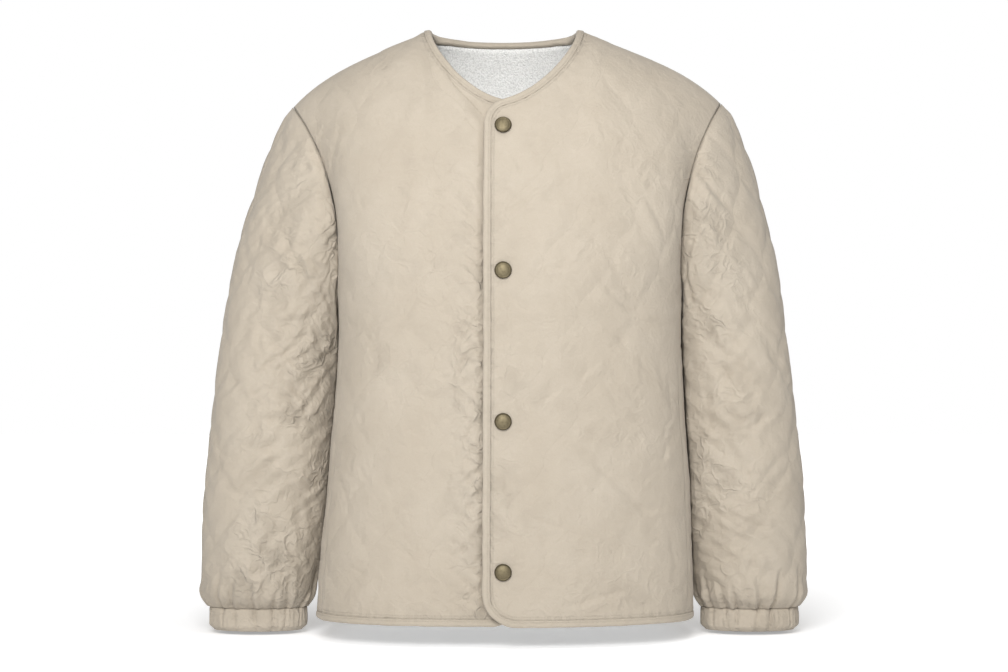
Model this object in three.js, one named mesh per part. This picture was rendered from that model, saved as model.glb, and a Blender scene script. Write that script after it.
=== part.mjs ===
import * as THREE from 'three';

// A collarless quilted jacket with a fleece back lining, bound edges, four snaps and gathered
// cuffs. It is filled out as if worn, with nobody in it. Millimetres, +Z up, the front faces -Y
// and the wearer's left arm is on +X. The origin is the middle of the neck opening, level with
// the points where the shoulder seams meet the neck.

// ---- driving dimensions ----

const HEM_Z = -653;
const CHEST_Z = -290; // underarm points
const SIDE_Y = -30; // side seams, where the body is widest
const RIDGE_Y = 12; // shoulder seams
const SECTION_POWER = { front: 2.4, back: 2.9 }; // how square a body section is, 2 being an ellipse

const NECK_HALF = 82;
const NECK_FRONT_DROP = 86;
const NECK_BACK_DROP = 7;
const NECK_BACK_Y = 70;
const NECK_POWER = 1.5; // the front neckline is nearly a V, softened at its foot
const NECK_RISE = 11; // how far the body would rise above the neck points if it had no neck hole
const SHOULDER = { left: { x: 244, z: -82 }, right: { x: 237, z: -86 } }; // seams' outer ends
const FLARE = 3; // how late the columns lean out to the shoulder
const ARMHOLE_DRAW = 0.7; // the column from where they are drawn in to the armhole
const ARMHOLE_PACE = 0.72; // spreads the rows along the armhole

const LAP_EDGE = 21.5; // each front reaches this far past the centre line
const LAP_LIFT = 6; // the over front stands out by this, and the under front in
const LAP_FADE = [24, 150]; // from the centre line, where the lift begins and ends its fade
const LAP_RIDGE = 80; // the lift also fades over this much of the way back to the shoulder seam
const HEM_CORNER = 35;
const NECK_CORNER = 28;

const WALL = { front: 7, back: 4, lining: 3, sleeve: 5, cuff: 4.5 };
const BINDING = { width: 6.6, proud: 0.8, crown: 0.7 };
const GAP = 0.3; // between pieces at a seam
const LINING_GAP = 1.1;

const QUILT = { width: 66, height: 106, puff: 2, valley: 18 }; // onion-shaped quilting
const EDGE_FADE = 16; // relief dies away this near a seam

const SLEEVE_Y = 12;
const SLEEVE_CLEAR = 3.2; // between sleeve and body
const SLEEVE_TOP_Z = -375; // the first level ring
const CUFF = { top: -646, bottom: -672, halfWidth: 54, halfDepth: 36, centre: 276, pleat: 1.6 };
const SLEEVE_PLEAT = { deep: 3.2, tall: 34 }; // where the sleeve is gathered into its cuff

const SNAP = { radius: 9.2, height: 3.4, x: -1 };
const SNAP_SEAT = 0.7; // above the smooth surface of the front
const SNAP_LEVELS = [-117, -273, -434, -594];

// Body sections: half width to the side seam on each side, and depth from the side seams to
// the front and to the back.
const SECTIONS = [
  { z: -290, right: 184, left: 196, front: 119, back: 158 },
  { z: -345, right: 183, left: 195, front: 118, back: 157 },
  { z: -430, right: 188, left: 200, front: 117, back: 158 },
  { z: -540, right: 198, left: 206, front: 119, back: 164 },
  { z: -653, right: 207, left: 209, front: 121, back: 170 },
];

// Armholes: share of the way down and in from shoulder point to underarm, and the y of the seam
// on the front and on the back.
const ARMHOLE = [
  { down: 0, in: 0, front: 12, back: 12 },
  { down: 0.035, in: 0.1, front: -10, back: 32 },
  { down: 0.13, in: 0.34, front: -36, back: 54 },
  { down: 0.32, in: 0.7, front: -58, back: 66 },
  { down: 0.58, in: 0.98, front: -66, back: 64 },
  { down: 0.84, in: 1.04, front: -54, back: 30 },
  { down: 1, in: 1, front: -30, back: -30 },
];

// Sleeve rings below the cap: how far out the sleeve reaches, its width and its half depth.
const SLEEVE_RINGS = [
  { z: -375, out: 322, width: 136, halfDepth: 65 },
  { z: -440, out: 329, width: 139, halfDepth: 65 },
  { z: -530, out: 337, width: 140, halfDepth: 63 },
  { z: -600, out: 339, width: 134, halfDepth: 60 },
  { z: -628, out: 338, width: 124, halfDepth: 54 },
  { z: -646, out: 330, width: 108, halfDepth: 36 },
];

// Largest folds, as troughs in a panel seen from the front: two ends, depth and half width.
const FOLDS = {
  front_left: [
    { x1: -8, z1: -222, x2: 28, z2: -196, deep: 2.4, wide: 9 },
    { x1: 112, z1: -292, x2: 166, z2: -328, deep: 2.6, wide: 10 },
    { x1: -14, z1: -462, x2: 18, z2: -548, deep: 2.4, wide: 12 },
    { x1: 60, z1: -452, x2: 148, z2: -528, deep: 2.6, wide: 12 },
    { x1: 186, z1: -180, x2: 206, z2: -132, deep: 2.2, wide: 9 },
    { x1: 60, z1: -628, x2: 132, z2: -610, deep: 2, wide: 10 },
  ],
  front_right: [
    { x1: -22, z1: -345, x2: -52, z2: -378, deep: 2.4, wide: 10 },
    { x1: -22, z1: -430, x2: -58, z2: -476, deep: 2.6, wide: 10 },
    { x1: -24, z1: -540, x2: -54, z2: -572, deep: 2.4, wide: 10 },
    { x1: -122, z1: -532, x2: -86, z2: -492, deep: 2.4, wide: 11 },
    { x1: -112, z1: -178, x2: -92, z2: -202, deep: 2, wide: 9 },
    { x1: -160, z1: -590, x2: -134, z2: -600, deep: 2, wide: 10 },
  ],
  back: [
    { x1: -150, z1: -190, x2: -95, z2: -262, deep: 2.4, wide: 12 },
    { x1: 150, z1: -180, x2: 88, z2: -248, deep: 2.6, wide: 12 },
    { x1: -120, z1: -440, x2: -20, z2: -472, deep: 2.4, wide: 13 },
    { x1: 24, z1: -500, x2: 128, z2: -462, deep: 2.6, wide: 13 },
    { x1: -150, z1: -560, x2: -60, z2: -592, deep: 2.2, wide: 12 },
  ],
};

// Largest folds of the sleeves, where x is the way round the sleeve from its outer line, by way of
// the front. The whole way is SLEEVE_ROUND.
const SLEEVE_ROUND = 430;
const SLEEVE_FOLDS = [
  { x1: 43, z1: -392, x2: 129, z2: -352, deep: 2.6, wide: 10 },
  { x1: 52, z1: -432, x2: 146, z2: -476, deep: 2.8, wide: 10 },
  { x1: 86, z1: -556, x2: 155, z2: -508, deep: 3, wide: 10 },
  { x1: 17, z1: -590, x2: 86, z2: -566, deep: 2.6, wide: 10 },
  { x1: 103, z1: -250, x2: 163, z2: -300, deep: 2.8, wide: 12 },
  { x1: 284, z1: -420, x2: 370, z2: -470, deep: 2.8, wide: 11 },
  { x1: 292, z1: -560, x2: 387, z2: -520, deep: 2.6, wide: 11 },
];

// Mesh steps, all even, because the inside of a wall has half as many.
const STEPS = { neck: 6, shoulder: 10, below: 16, above: 8, sleeve: 22, cuff: 2 };

const COLOUR = { quilt: 0xd2c8b6, binding: 0xcbc0ae, fleece: 0xe8e6df, brass: 0x9b8e70 };

// ---- small tools ----

const V = (x, y, z) => new THREE.Vector3(x, y, z);
const mix = (a, b, t) => a + (b - a) * t;
const smooth = (from, to, v) => THREE.MathUtils.smoothstep(v, from, to);
const range = (n) => [...Array(n + 1).keys()];

// A value read smoothly from a table whose first column runs evenly up or down.
function read(table, key, at, want) {
  const last = table.length - 1;
  const sign = Math.sign(table[last][key] - table[0][key]);
  let i = 0;
  while (i < last - 1 && sign * (at - table[i + 1][key]) > 0) i += 1;
  const [a, b] = [table[i], table[i + 1]];
  const [before, after] = [table[Math.max(i - 1, 0)], table[Math.min(i + 2, last)]];
  const span = b[key] - a[key];
  const t = THREE.MathUtils.clamp((at - a[key]) / span, 0, 1);
  const slopeA = ((b[want] - before[want]) / (b[key] - before[key])) * span;
  const slopeB = ((after[want] - a[want]) / (after[key] - a[key])) * span;
  const [t2, t3] = [t * t, t * t * t];
  return (2 * t3 - 3 * t2 + 1) * a[want] + (t3 - 2 * t2 + t) * slopeA
    + (3 * t2 - 2 * t3) * b[want] + (t3 - t2) * slopeB;
}

// The point a share of the way along a line of points.
function along(points, share) {
  const runs = [0];
  for (let i = 1; i < points.length; i += 1) {
    runs.push(runs[i - 1] + points[i].distanceTo(points[i - 1]));
  }
  const at = share * runs[runs.length - 1];
  let i = 1;
  while (i < points.length - 1 && runs[i] < at) i += 1;
  const t = (at - runs[i - 1]) / Math.max(runs[i] - runs[i - 1], 1e-9);
  return points[i - 1].clone().lerp(points[i], t);
}

// ---- the body's surface ----

const signedPower = (v, power) => Math.sign(v) * Math.abs(v) ** power;

// The quarter of a body section from the centre line to a side seam.
function quarter(z, side, face) {
  const half = read(SECTIONS, 'z', z, side);
  const depth = read(SECTIONS, 'z', z, face) * (face === 'front' ? -1 : 1);
  const power = 2 / SECTION_POWER[face];
  return range(24).map((k) => {
    const angle = (k / 24) * (Math.PI / 2);
    const x = half * signedPower(Math.sin(angle), power);
    return V(x, SIDE_Y + depth * signedPower(Math.cos(angle), power), z);
  });
}

// A point of a body section, at a distance from the centre line as a share of that quarter.
function sectionPoint(z, side, face, share) {
  const p = along(quarter(z, side, face), Math.abs(share));
  p.x *= Math.sign(share) || 1;
  return p;
}

// How far out the body reaches at a place (y, z), for the sleeve to stay clear of.
function bodyReach(y, z, side) {
  const level = Math.min(z, CHEST_Z);
  const face = y < SIDE_Y ? 'front' : 'back';
  const power = SECTION_POWER[face];
  const off = Math.min(Math.abs(y - SIDE_Y) / read(SECTIONS, 'z', level, face), 1);
  return read(SECTIONS, 'z', level, side) * (1 - off ** power) ** (1 / power);
}

// The front's y near the neck, at a place (x, z) seen from the front.
function neckSurfaceY(x, z, side) {
  const chest = sectionPoint(CHEST_Z, side, 'front', x / 250);
  const top = NECK_RISE * (1 - (x / NECK_HALF) ** 2);
  const t = THREE.MathUtils.clamp((z - CHEST_Z) / (top - CHEST_Z), 0, 1);
  return RIDGE_Y + (chest.y - RIDGE_Y) * Math.sqrt(1 - t * t);
}

// The front neckline, from the front edge to the shoulder point.
function frontNeckLine(side) {
  const edge = -LAP_EDGE;
  const flat = range(8).map((k) => V(mix(edge, 0, (k / 8) ** 2), 0, -NECK_FRONT_DROP));
  const curve = range(28).slice(1).map((k) => {
    const angle = (k / 28) * (Math.PI / 2);
    const power = 2 / NECK_POWER;
    return V(NECK_HALF * Math.sin(angle) ** power, 0, -NECK_FRONT_DROP * Math.cos(angle) ** power);
  });
  return [...flat, ...curve].map((p) => {
    const left = NECK_CORNER - (p.x - edge);
    if (left > 0) p.z -= NECK_CORNER - Math.sqrt(NECK_CORNER ** 2 - left ** 2);
    return p.setY(neckSurfaceY(p.x, p.z, side));
  });
}

// The back neckline, from the centre back to the shoulder point.
function backNeckLine() {
  return range(24).map((k) => {
    const angle = (k / 24) * (Math.PI / 2);
    const c = Math.cos(angle);
    return V(NECK_HALF * Math.sin(angle), mix(RIDGE_Y, NECK_BACK_Y, c), -NECK_BACK_DROP * c);
  });
}

const BACK_NECK = backNeckLine();
const NECK_LINES = {
  front: { left: frontNeckLine('left'), right: frontNeckLine('right') },
  back: { left: BACK_NECK, right: BACK_NECK },
};

// A neckline point moved into the panel by inset.
function neckPoint(share, side, face, inset) {
  const line = NECK_LINES[face][side];
  const p = along(line, share);
  const t = along(line, Math.min(share + 0.01, 1)).sub(along(line, Math.max(share - 0.01, 0)));
  if (face === 'front') {
    p.addScaledVector(V(t.z, 0, -t.x).normalize(), inset);
    p.y = neckSurfaceY(p.x, p.z, side);
    return p;
  }
  t.normalize();
  const inward = V(0, 0.5, -0.86).lerp(V(1, 0, -0.2), share ** 2);
  inward.addScaledVector(t, -inward.dot(t)).normalize();
  return p.addScaledVector(inward, inset);
}

// The shoulder seam falls nearly straight, and rounds over at its outer end.
function shoulderSeam(share, side, inset) {
  const end = SHOULDER[side];
  const x = mix(NECK_HALF + inset, end.x, share);
  const t = (x - NECK_HALF) / (end.x - NECK_HALF);
  return V(x, RIDGE_Y, end.z * (0.75 * t + 0.25 * t ** 5));
}

function armholePoint(share, side, face) {
  const half = read(SECTIONS, 'z', CHEST_Z, side);
  const rows = ARMHOLE.map((row) => V(
    mix(SHOULDER[side].x, half, row.in),
    row[face],
    mix(SHOULDER[side].z, CHEST_Z, row.down),
  ));
  return along(new THREE.CatmullRomCurve3(rows).getPoints(60), share);
}

// Where a column stands on the body's sections. Columns run 0 to 1 along the neckline and to 2
// along the shoulder seam, the last one following the side seam and the armhole.
function columnShare(column, face, inset) {
  const edge = face === 'front' ? (inset - LAP_EDGE) / 250 : 0;
  return column <= 1 ? mix(edge, 0.4, column) : mix(0.4, 1, column - 1);
}

// A point of a column below the underarm level, a share of the way up from the hem.
function lowerPoint(column, up, side, face, inset) {
  const share = columnShare(column, face, inset);
  const radius = HEM_CORNER - inset;
  const left = radius - (share - columnShare(0, face, inset)) * 250;
  let foot = HEM_Z + inset;
  if (face === 'front' && left > 0) foot += radius - Math.sqrt(radius ** 2 - left ** 2);
  return sectionPoint(mix(foot, CHEST_Z, up), side, face, share);
}

// A point of a column above the underarm level, on an arc that would be level at the ridge.
function archPoint(column, up, side, face, inset) {
  const chest = lowerPoint(column, 1, side, face, inset);
  const top = column < 1
    ? neckPoint(column ** (face === 'front' ? 1.3 : 1), side, face, inset)
    : shoulderSeam(column - 1, side, inset);
  const over = THREE.MathUtils.clamp((top.y - RIDGE_Y) / (chest.y - RIDGE_Y), 0, 0.95);
  const turn = Math.acos(over);
  const rise = Math.sin(turn * up) / Math.sin(turn);
  const y = mix(top.y, chest.y, (Math.cos(turn * up) - over) / (1 - over));
  return V(mix(chest.x, top.x, rise ** FLARE), y, mix(chest.z, top.z, rise));
}

// The body's smooth surface. The rows run 0 to 1 from the hem to the underarm level and to 2 at
// the neck and shoulders, where the outer columns are drawn in to the armhole.
function smoothPoint(column, up, side, face, inset) {
  if (up <= 1) return lowerPoint(column, up, side, face, inset);
  const arch = (at) => archPoint(at, up - 1, side, face, inset);
  const p = arch(column);
  const part = Math.max(0, (column - ARMHOLE_DRAW) / (2 - ARMHOLE_DRAW));
  if (part === 0) return p;
  const [hub, end] = [arch(ARMHOLE_DRAW), arch(2)];
  const seam = armholePoint(1 - (up - 1) ** ARMHOLE_PACE, side, face);
  p.x = THREE.MathUtils.mapLinear(p.x, hub.x, end.x, hub.x, seam.x);
  p.y = THREE.MathUtils.mapLinear(p.y, hub.y, end.y, hub.y, seam.y);
  p.z += (seam.z - end.z) * part ** 1.4;
  return p;
}

// The lift of a front where the two lap, as a share.
const lapShare = (p) => (1 - smooth(...LAP_FADE, p.x)) * smooth(0, LAP_RIDGE, RIDGE_Y - p.y);

function bodyPoint(column, up, side, face, inset) {
  const p = smoothPoint(column, up, side, face, inset);
  if (face === 'front') p.y -= lapShare(p) * LAP_LIFT * (side === 'left' ? 1 : -1);
  return side === 'left' ? p : p.setX(-p.x);
}

// ---- walls ----

// Normals of a grid of closed rings, turned to the side of outward.
function ringNormals(grid, outward) {
  const last = grid.length - 1;
  return grid.map((row, j) => row.map((p, i) => {
    const round = row[(i + 1) % row.length].clone().sub(row.at(i - 1));
    const down = grid[Math.min(j + 1, last)][i].clone().sub(grid[Math.max(j - 1, 0)][i]);
    const n = round.cross(down).normalize();
    return n.dot(outward(p)) < 0 ? n.negate() : n;
  }));
}

// A closed wall over a grid. Its outer points stand out by outer(i, j) along the normals and its
// inner ones lie inner(i, j) deep. A step of 2 skips every second point of a skin, but no row
// from fullFrom up and no point of an open wall's last row, where other pieces are sewn on.
function wall({ grid, normals, outer, inner, outerStep = 1, innerStep = 1, fullFrom = 1e9, closed }) {
  const position = [];
  const index = [];
  const last = grid.length - 1;
  const skinPoints = (step, far) => {
    const rows = range(last).filter((j) => j % step === 0 || j >= fullFrom);
    return rows.map((j) => {
      const whole = j === last && !closed;
      const kept = range(grid[j].length - 1).filter((i) => i % step === 0 || whole);
      const points = kept.map((i) => {
        const q = grid[j][i].clone().addScaledVector(normals[j][i], far(i, j));
        return { id: position.push(q.x, q.y, q.z) / 3 - 1, at: i };
      });
      if (closed) points.push({ id: points[0].id, at: grid[j].length });
      return { points, at: j };
    });
  };
  // Faces between two lines of points, stepping on along whichever line is behind.
  const zip = (a, b, flip) => {
    let [i, k] = [0, 0];
    while (i < a.length - 1 || k < b.length - 1) {
      const stepA = k === b.length - 1 || (i < a.length - 1 && a[i + 1].at <= b[k + 1].at);
      const face = [a[i].id, stepA ? a[i + 1].id : b[k + 1].id, b[k].id];
      index.push(...(flip ? face.reverse() : face));
      if (stepA) i += 1;
      else k += 1;
    }
  };
  const a = skinPoints(outerStep, outer);
  const b = skinPoints(innerStep, (i, j) => -inner(i, j));
  a.slice(1).forEach((row, j) => zip(a[j].points, row.points, false));
  b.slice(1).forEach((row, j) => zip(b[j].points, row.points, true));
  zip(a[0].points, b[0].points, true);
  zip(a.at(-1).points, b.at(-1).points, false);
  if (!closed) {
    const edge = (rows, k) => rows.map((row) => ({ id: row.points.at(k).id, at: row.at }));
    zip(edge(a, 0), edge(b, 0), false);
    zip(edge(a, -1), edge(b, -1), true);
  }
  const geometry = new THREE.BufferGeometry();
  geometry.setAttribute('position', new THREE.Float32BufferAttribute(position, 3));
  geometry.setIndex(index);
  return faceOut(geometry);
}

// Turns every face round if the solid came out inside out.
function faceOut(geometry) {
  const p = geometry.attributes.position;
  const index = geometry.index;
  const corner = (k) => V().fromBufferAttribute(p, index.getX(k));
  let volume = 0;
  for (let k = 0; k < index.count; k += 3) {
    volume += corner(k).dot(corner(k + 1).cross(corner(k + 2)));
  }
  if (volume < 0) {
    for (let k = 0; k < index.count; k += 3) {
      const keep = index.getX(k);
      index.setX(k, index.getX(k + 1));
      index.setX(k + 1, keep);
    }
  }
  geometry.computeVertexNormals();
  return geometry;
}

// ---- relief ----

// 0 on a quilting line and 1 on a puff. The lines are mirrored waves that meet in onion shapes.
function quiltPuff(across, up) {
  const half = QUILT.width / 2;
  const sway = (QUILT.width / 4) * Math.cos((2 * Math.PI * up) / QUILT.height);
  const first = Math.floor(across / half) - 1;
  const lines = range(3).map((k) => (first + k) * half + ((first + k) % 2 === 0 ? sway : -sway));
  const near = Math.min(...lines.map((at) => Math.abs(across - at)));
  return smooth(0, QUILT.valley, near);
}

// How far the folds of a table press in at a place (x, z) of a flat view.
function foldDepth(folds, x, z) {
  let deep = 0;
  for (const { x1, z1, x2, z2, deep: most, wide } of folds) {
    const [dx, dz] = [x2 - x1, z2 - z1];
    const t = THREE.MathUtils.clamp(((x - x1) * dx + (z - z1) * dz) / (dx * dx + dz * dz), 0, 1);
    const away = Math.hypot(x - x1 - t * dx, z - z1 - t * dz);
    deep += most * Math.exp(-((away / wide) ** 2));
  }
  return deep;
}

// ---- pieces ----

const group = new THREE.Group();

function piece(name, geometry, color, roughness = 0.9, metalness = 0) {
  const material = new THREE.MeshStandardMaterial({ color, roughness, metalness });
  const mesh = new THREE.Mesh(geometry, material);
  mesh.name = name;
  group.add(mesh);
  return mesh;
}

// The columns of a panel from its front edge or centre line to its side, and the rows.
const COLUMNS = [
  ...range(STEPS.neck).map((k) => k / STEPS.neck),
  ...range(STEPS.shoulder).slice(1).map((k) => 1 + k / STEPS.shoulder),
];
const ROWS = [
  ...range(STEPS.below).map((k) => k / STEPS.below),
  ...range(STEPS.above).slice(1).map((k) => 1 + k / STEPS.above),
];
const PANEL_INSET = BINDING.width + 2 * GAP;
// Roughly outward from the body at a point.
const bodyOut = (p) => V(p.x, p.y - SIDE_Y - 10, p.z > -120 ? 120 : 0);

// The outward normal of the arched part of the body, above the underarm level.
function archNormal(p, side, face) {
  const x = Math.abs(p.x);
  const depth = (at) => sectionPoint(CHEST_Z, side, face, at / 250).y - RIDGE_Y;
  const [c, v, w] = [depth(x), (p.y - RIDGE_Y) / depth(x), (p.z - CHEST_Z) / -CHEST_Z];
  const bend = (-v * v * (depth(x + 8) - depth(x - 8))) / 16 / c;
  const slope = (0.42 * w * w * Math.min(x / NECK_HALF, 1)) / -CHEST_Z;
  return V((bend + slope) * Math.sign(p.x), v / c, w / -CHEST_Z).normalize();
}

// The outward normal of a body panel. Both panels of a seam have the same one there.
function bodyNormal(column, up, side, face, inset) {
  const x = side === 'left' ? 1 : -1;
  if (column === 2 && up <= 1) return V(x, 0, 0);
  if (up === 2 && column >= 1) return V(x * 0.42, 0, 0.9).normalize();
  const at = (c, u) => bodyPoint(c, u, side, face, inset);
  const c = THREE.MathUtils.clamp(column, 0.04, 1.96);
  const u = THREE.MathUtils.clamp(up, 0.02, 1.97);
  const n = at(c + 0.03, u).sub(at(c - 0.03, u)).cross(at(c, u + 0.02).sub(at(c, u - 0.02)));
  n.normalize();
  if (n.dot(bodyOut(at(c, u))) < 0) n.negate();
  if (up <= 1) return n;
  return archNormal(at(column, up), side, face).lerp(n, smooth(1.15, 1.5, column)).normalize();
}

// Moves a point of a side or shoulder seam back by half the gap there.
function seamGap(p, column, up, face) {
  const seam = (column === 2 && up <= 1) || (up === 2 && column >= 1);
  if (seam) p.y += ((face === 'front' ? -1 : 1) * GAP) / 2;
  return p;
}

function bodyGrid(columns, sides, face, inset) {
  const over = (want) => ROWS.map((up) => columns.map((column, i) => want(column, up, sides[i])));
  const grid = over((column, up, side) => {
    return seamGap(bodyPoint(column, up, side, face, inset), column, up, face);
  });
  const normals = over((column, up, side) => bodyNormal(column, up, side, face, inset));
  return { grid, normals };
}

// Relief of a body panel's outer points: puffs and folds, dying away at its edges.
function bodyRelief({ grid, columns, sides, folds }) {
  const last = grid.length - 1;
  return (i, j) => {
    const p = grid[j][i];
    const ends = [grid[j][0], grid[j][grid[j].length - 1], grid[0][i], grid[last][i]];
    const near = Math.min(...ends.map((q) => q.distanceTo(p)));
    const fade = smooth(0, EDGE_FADE, near);
    const side = sides[i] === 'left' ? 1 : -1;
    const across = side * columnShare(columns[i], 'back', 0) * 262;
    const puff = QUILT.puff * (quiltPuff(across, p.z) - 0.6);
    const snap = Math.min(...SNAP_LEVELS.map((z) => Math.hypot(p.x - SNAP.x, p.z - z)));
    const pressed = smooth(SNAP.radius, 3 * SNAP.radius, p.y < SIDE_Y ? snap : 100);
    return fade * pressed * (puff - foldDepth(folds, p.x, p.z));
  };
}

function panel(name, columns, sides, face, thick) {
  const { grid, normals } = bodyGrid(columns, sides, face, PANEL_INSET);
  const outer = bodyRelief({ grid, columns, sides, folds: FOLDS[name] });
  const geometry = wall({
    grid, normals, outer, inner: () => thick, innerStep: 2, fullFrom: STEPS.below,
  });
  piece(name, geometry, COLOUR.quilt);
  return { grid, normals };
}

const oneSide = (side) => COLUMNS.map(() => side);
const fronts = {
  left: panel('front_left', COLUMNS, oneSide('left'), 'front', WALL.front),
  right: panel('front_right', COLUMNS, oneSide('right'), 'front', WALL.front),
};
const backColumns = [...COLUMNS.slice(1).reverse(), ...COLUMNS];
const backSides = [...oneSide('right').slice(1), ...oneSide('left')];
const back = panel('back', backColumns, backSides, 'back', WALL.back);

const BACK_WALL = WALL.back + LINING_GAP + WALL.lining;

// The fleece lies against the inside of the back, on every second point of it.
function backLining() {
  const geometry = wall({
    ...back,
    outer: () => -(WALL.back + LINING_GAP),
    inner: () => BACK_WALL,
    outerStep: 2,
    innerStep: 2,
    fullFrom: STEPS.below,
  });
  piece('lining_back', geometry, COLOUR.fleece, 1);
}
backLining();

// A bound edge: a strip from the finished edge to the panel, a little thicker than the panel.
function binding(name, stations, thick) {
  const insets = [0, BINDING.width / 2, BINDING.width];
  const grid = insets.map((inset) => stations.map(({ column, up, side, face }) => {
    return seamGap(bodyPoint(column, up, side, face, inset), column, up, face);
  }));
  const normals = insets.map((inset) => stations.map(({ column, up, side, face }) => {
    return bodyNormal(column, up, side, face, inset);
  }));
  const crown = (j) => (j === 1 ? BINDING.crown : 0);
  const geometry = wall({
    grid,
    normals,
    outer: (i, j) => BINDING.proud + crown(j),
    inner: (i, j) => thick + BINDING.proud + crown(j),
  });
  piece(name, geometry, COLOUR.binding);
}

const NECK_COLUMNS = COLUMNS.filter((column) => column <= 1);
for (const side of ['left', 'right']) {
  const at = (column, up) => ({ column, up, side, face: 'front' });
  binding(`binding_front_${side}`, [
    ...NECK_COLUMNS.slice().reverse().map((column) => at(column, 2)),
    ...ROWS.slice(1, -1).reverse().map((up) => at(0, up)),
    ...COLUMNS.map((column) => at(column, 0)),
  ], WALL.front);
}
const backStations = (columns, sides, up) => columns
  .map((column, i) => ({ column, up, side: sides[i], face: 'back' }));
const neckOnly = (list) => list.filter((_, i) => backColumns[i] <= 1);
binding('binding_neck_back', backStations(neckOnly(backColumns), neckOnly(backSides), 2), BACK_WALL);
binding('binding_hem_back', backStations(backColumns, backSides, 0), BACK_WALL);

// ---- sleeves and cuffs ----

const AROUND = 4 * STEPS.above;

// The sleeve's first ring, from the shoulder point by the front to the underarm and up the back.
// Each point stands off the body's edge, and has the body's normal there.
function armholeRing(side) {
  const sign = side === 'left' ? 1 : -1;
  const edge = ({ grid, normals }, column, before) => range(STEPS.above).map((k) => {
    const row = ROWS.length - 1 - k;
    return { p: grid[row][column], within: grid[row][before], n: normals[row][column] };
  });
  const end = COLUMNS.length - 1;
  const backEnd = end + sign * end;
  const frontEdge = edge(fronts[side], end, end - 1);
  const backEdge = edge(back, backEnd, backEnd - sign);
  const knots = [...frontEdge, ...backEdge.slice(1, -1).reverse()];
  knots.forEach((knot, k) => {
    const t = knots[(k + 1) % knots.length].p.clone().sub(knots.at(k - 1).p);
    const away = knot.p.clone().sub(knot.within);
    knot.out = knot.n.clone().cross(t).normalize();
    if (knot.out.dot(away) < 0) knot.out.negate();
  });
  return range(AROUND - 1).map((i) => {
    const k = Math.floor(i / 2);
    const [a, b] = [knots[k], knots[i % 2 === 0 ? k : (k + 1) % knots.length]];
    const half = (key) => a[key].clone().lerp(b[key], 0.5);
    const low = lowShare(i);
    const n = half('n').normalize();
    const out = half('out').normalize();
    const p = half('p').addScaledVector(out, 1.7 * GAP).addScaledVector(n, GAP * low);
    return { p: p.setX(sign * p.x), n, out: out.setX(sign * out.x) };
  });
}

// 0 on a sleeve's outer line, 1 underarm.
function lowShare(i) {
  return (1 - Math.cos((2 * Math.PI * i) / AROUND)) / 2;
}

// A point of a level ring of the sleeve.
function sleeveRingPoint(i, z) {
  const angle = (2 * Math.PI * i) / AROUND;
  const half = read(SLEEVE_RINGS, 'z', z, 'width') / 2;
  const depth = read(SLEEVE_RINGS, 'z', z, 'halfDepth');
  const centre = read(SLEEVE_RINGS, 'z', z, 'out') - half;
  const middle = mix(centre, CUFF.centre, smooth(600, -CUFF.top, -z) ** 4);
  return V(middle + half * Math.cos(angle), SLEEVE_Y - depth * Math.sin(angle), z);
}

// One column of a sleeve, from the armhole to the cuff.
function sleeveLine(i, { p: start, out }, side) {
  const end = sleeveRingPoint(i, SLEEVE_TOP_Z);
  const low = lowShare(i);
  const front = Math.sin((2 * Math.PI * i) / AROUND);
  const leave = out.clone()
    .lerp(V(0.3, -0.5 * front, -0.9), mix(0.5, 1, smooth(0.1, 0.75, low)))
    .setLength(mix(0.73, 1.1, low));
  const far = end.distanceTo(start);
  const line = range(20).map((k) => {
    const t = k / 20;
    const [t2, t3] = [t * t, t * t * t];
    return start.clone().multiplyScalar(2 * t3 - 3 * t2 + 1)
      .addScaledVector(leave, far * (t3 - 2 * t2 + t))
      .addScaledVector(end, 3 * t2 - 2 * t3)
      .addScaledVector(V(0.126, 0, -1.05), far * (t3 - t2));
  });
  for (const k of range(20).slice(1)) {
    line.push(sleeveRingPoint(i, mix(SLEEVE_TOP_Z, CUFF.top, k / 20)));
  }
  let run = 0;
  line.forEach((p, k) => {
    if (k > 0) run += p.distanceTo(line[k - 1]);
    const clear = mix(GAP, SLEEVE_CLEAR, smooth(0, 45, run));
    p.x = Math.max(p.x, bodyReach(p.y, p.z, side) + clear);
  });
  return line;
}

// Pleats stand out and lie in by turns round the sleeve.
const pleatWave = (i) => (i % 2 === 0 ? 0.5 : -0.5);

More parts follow.
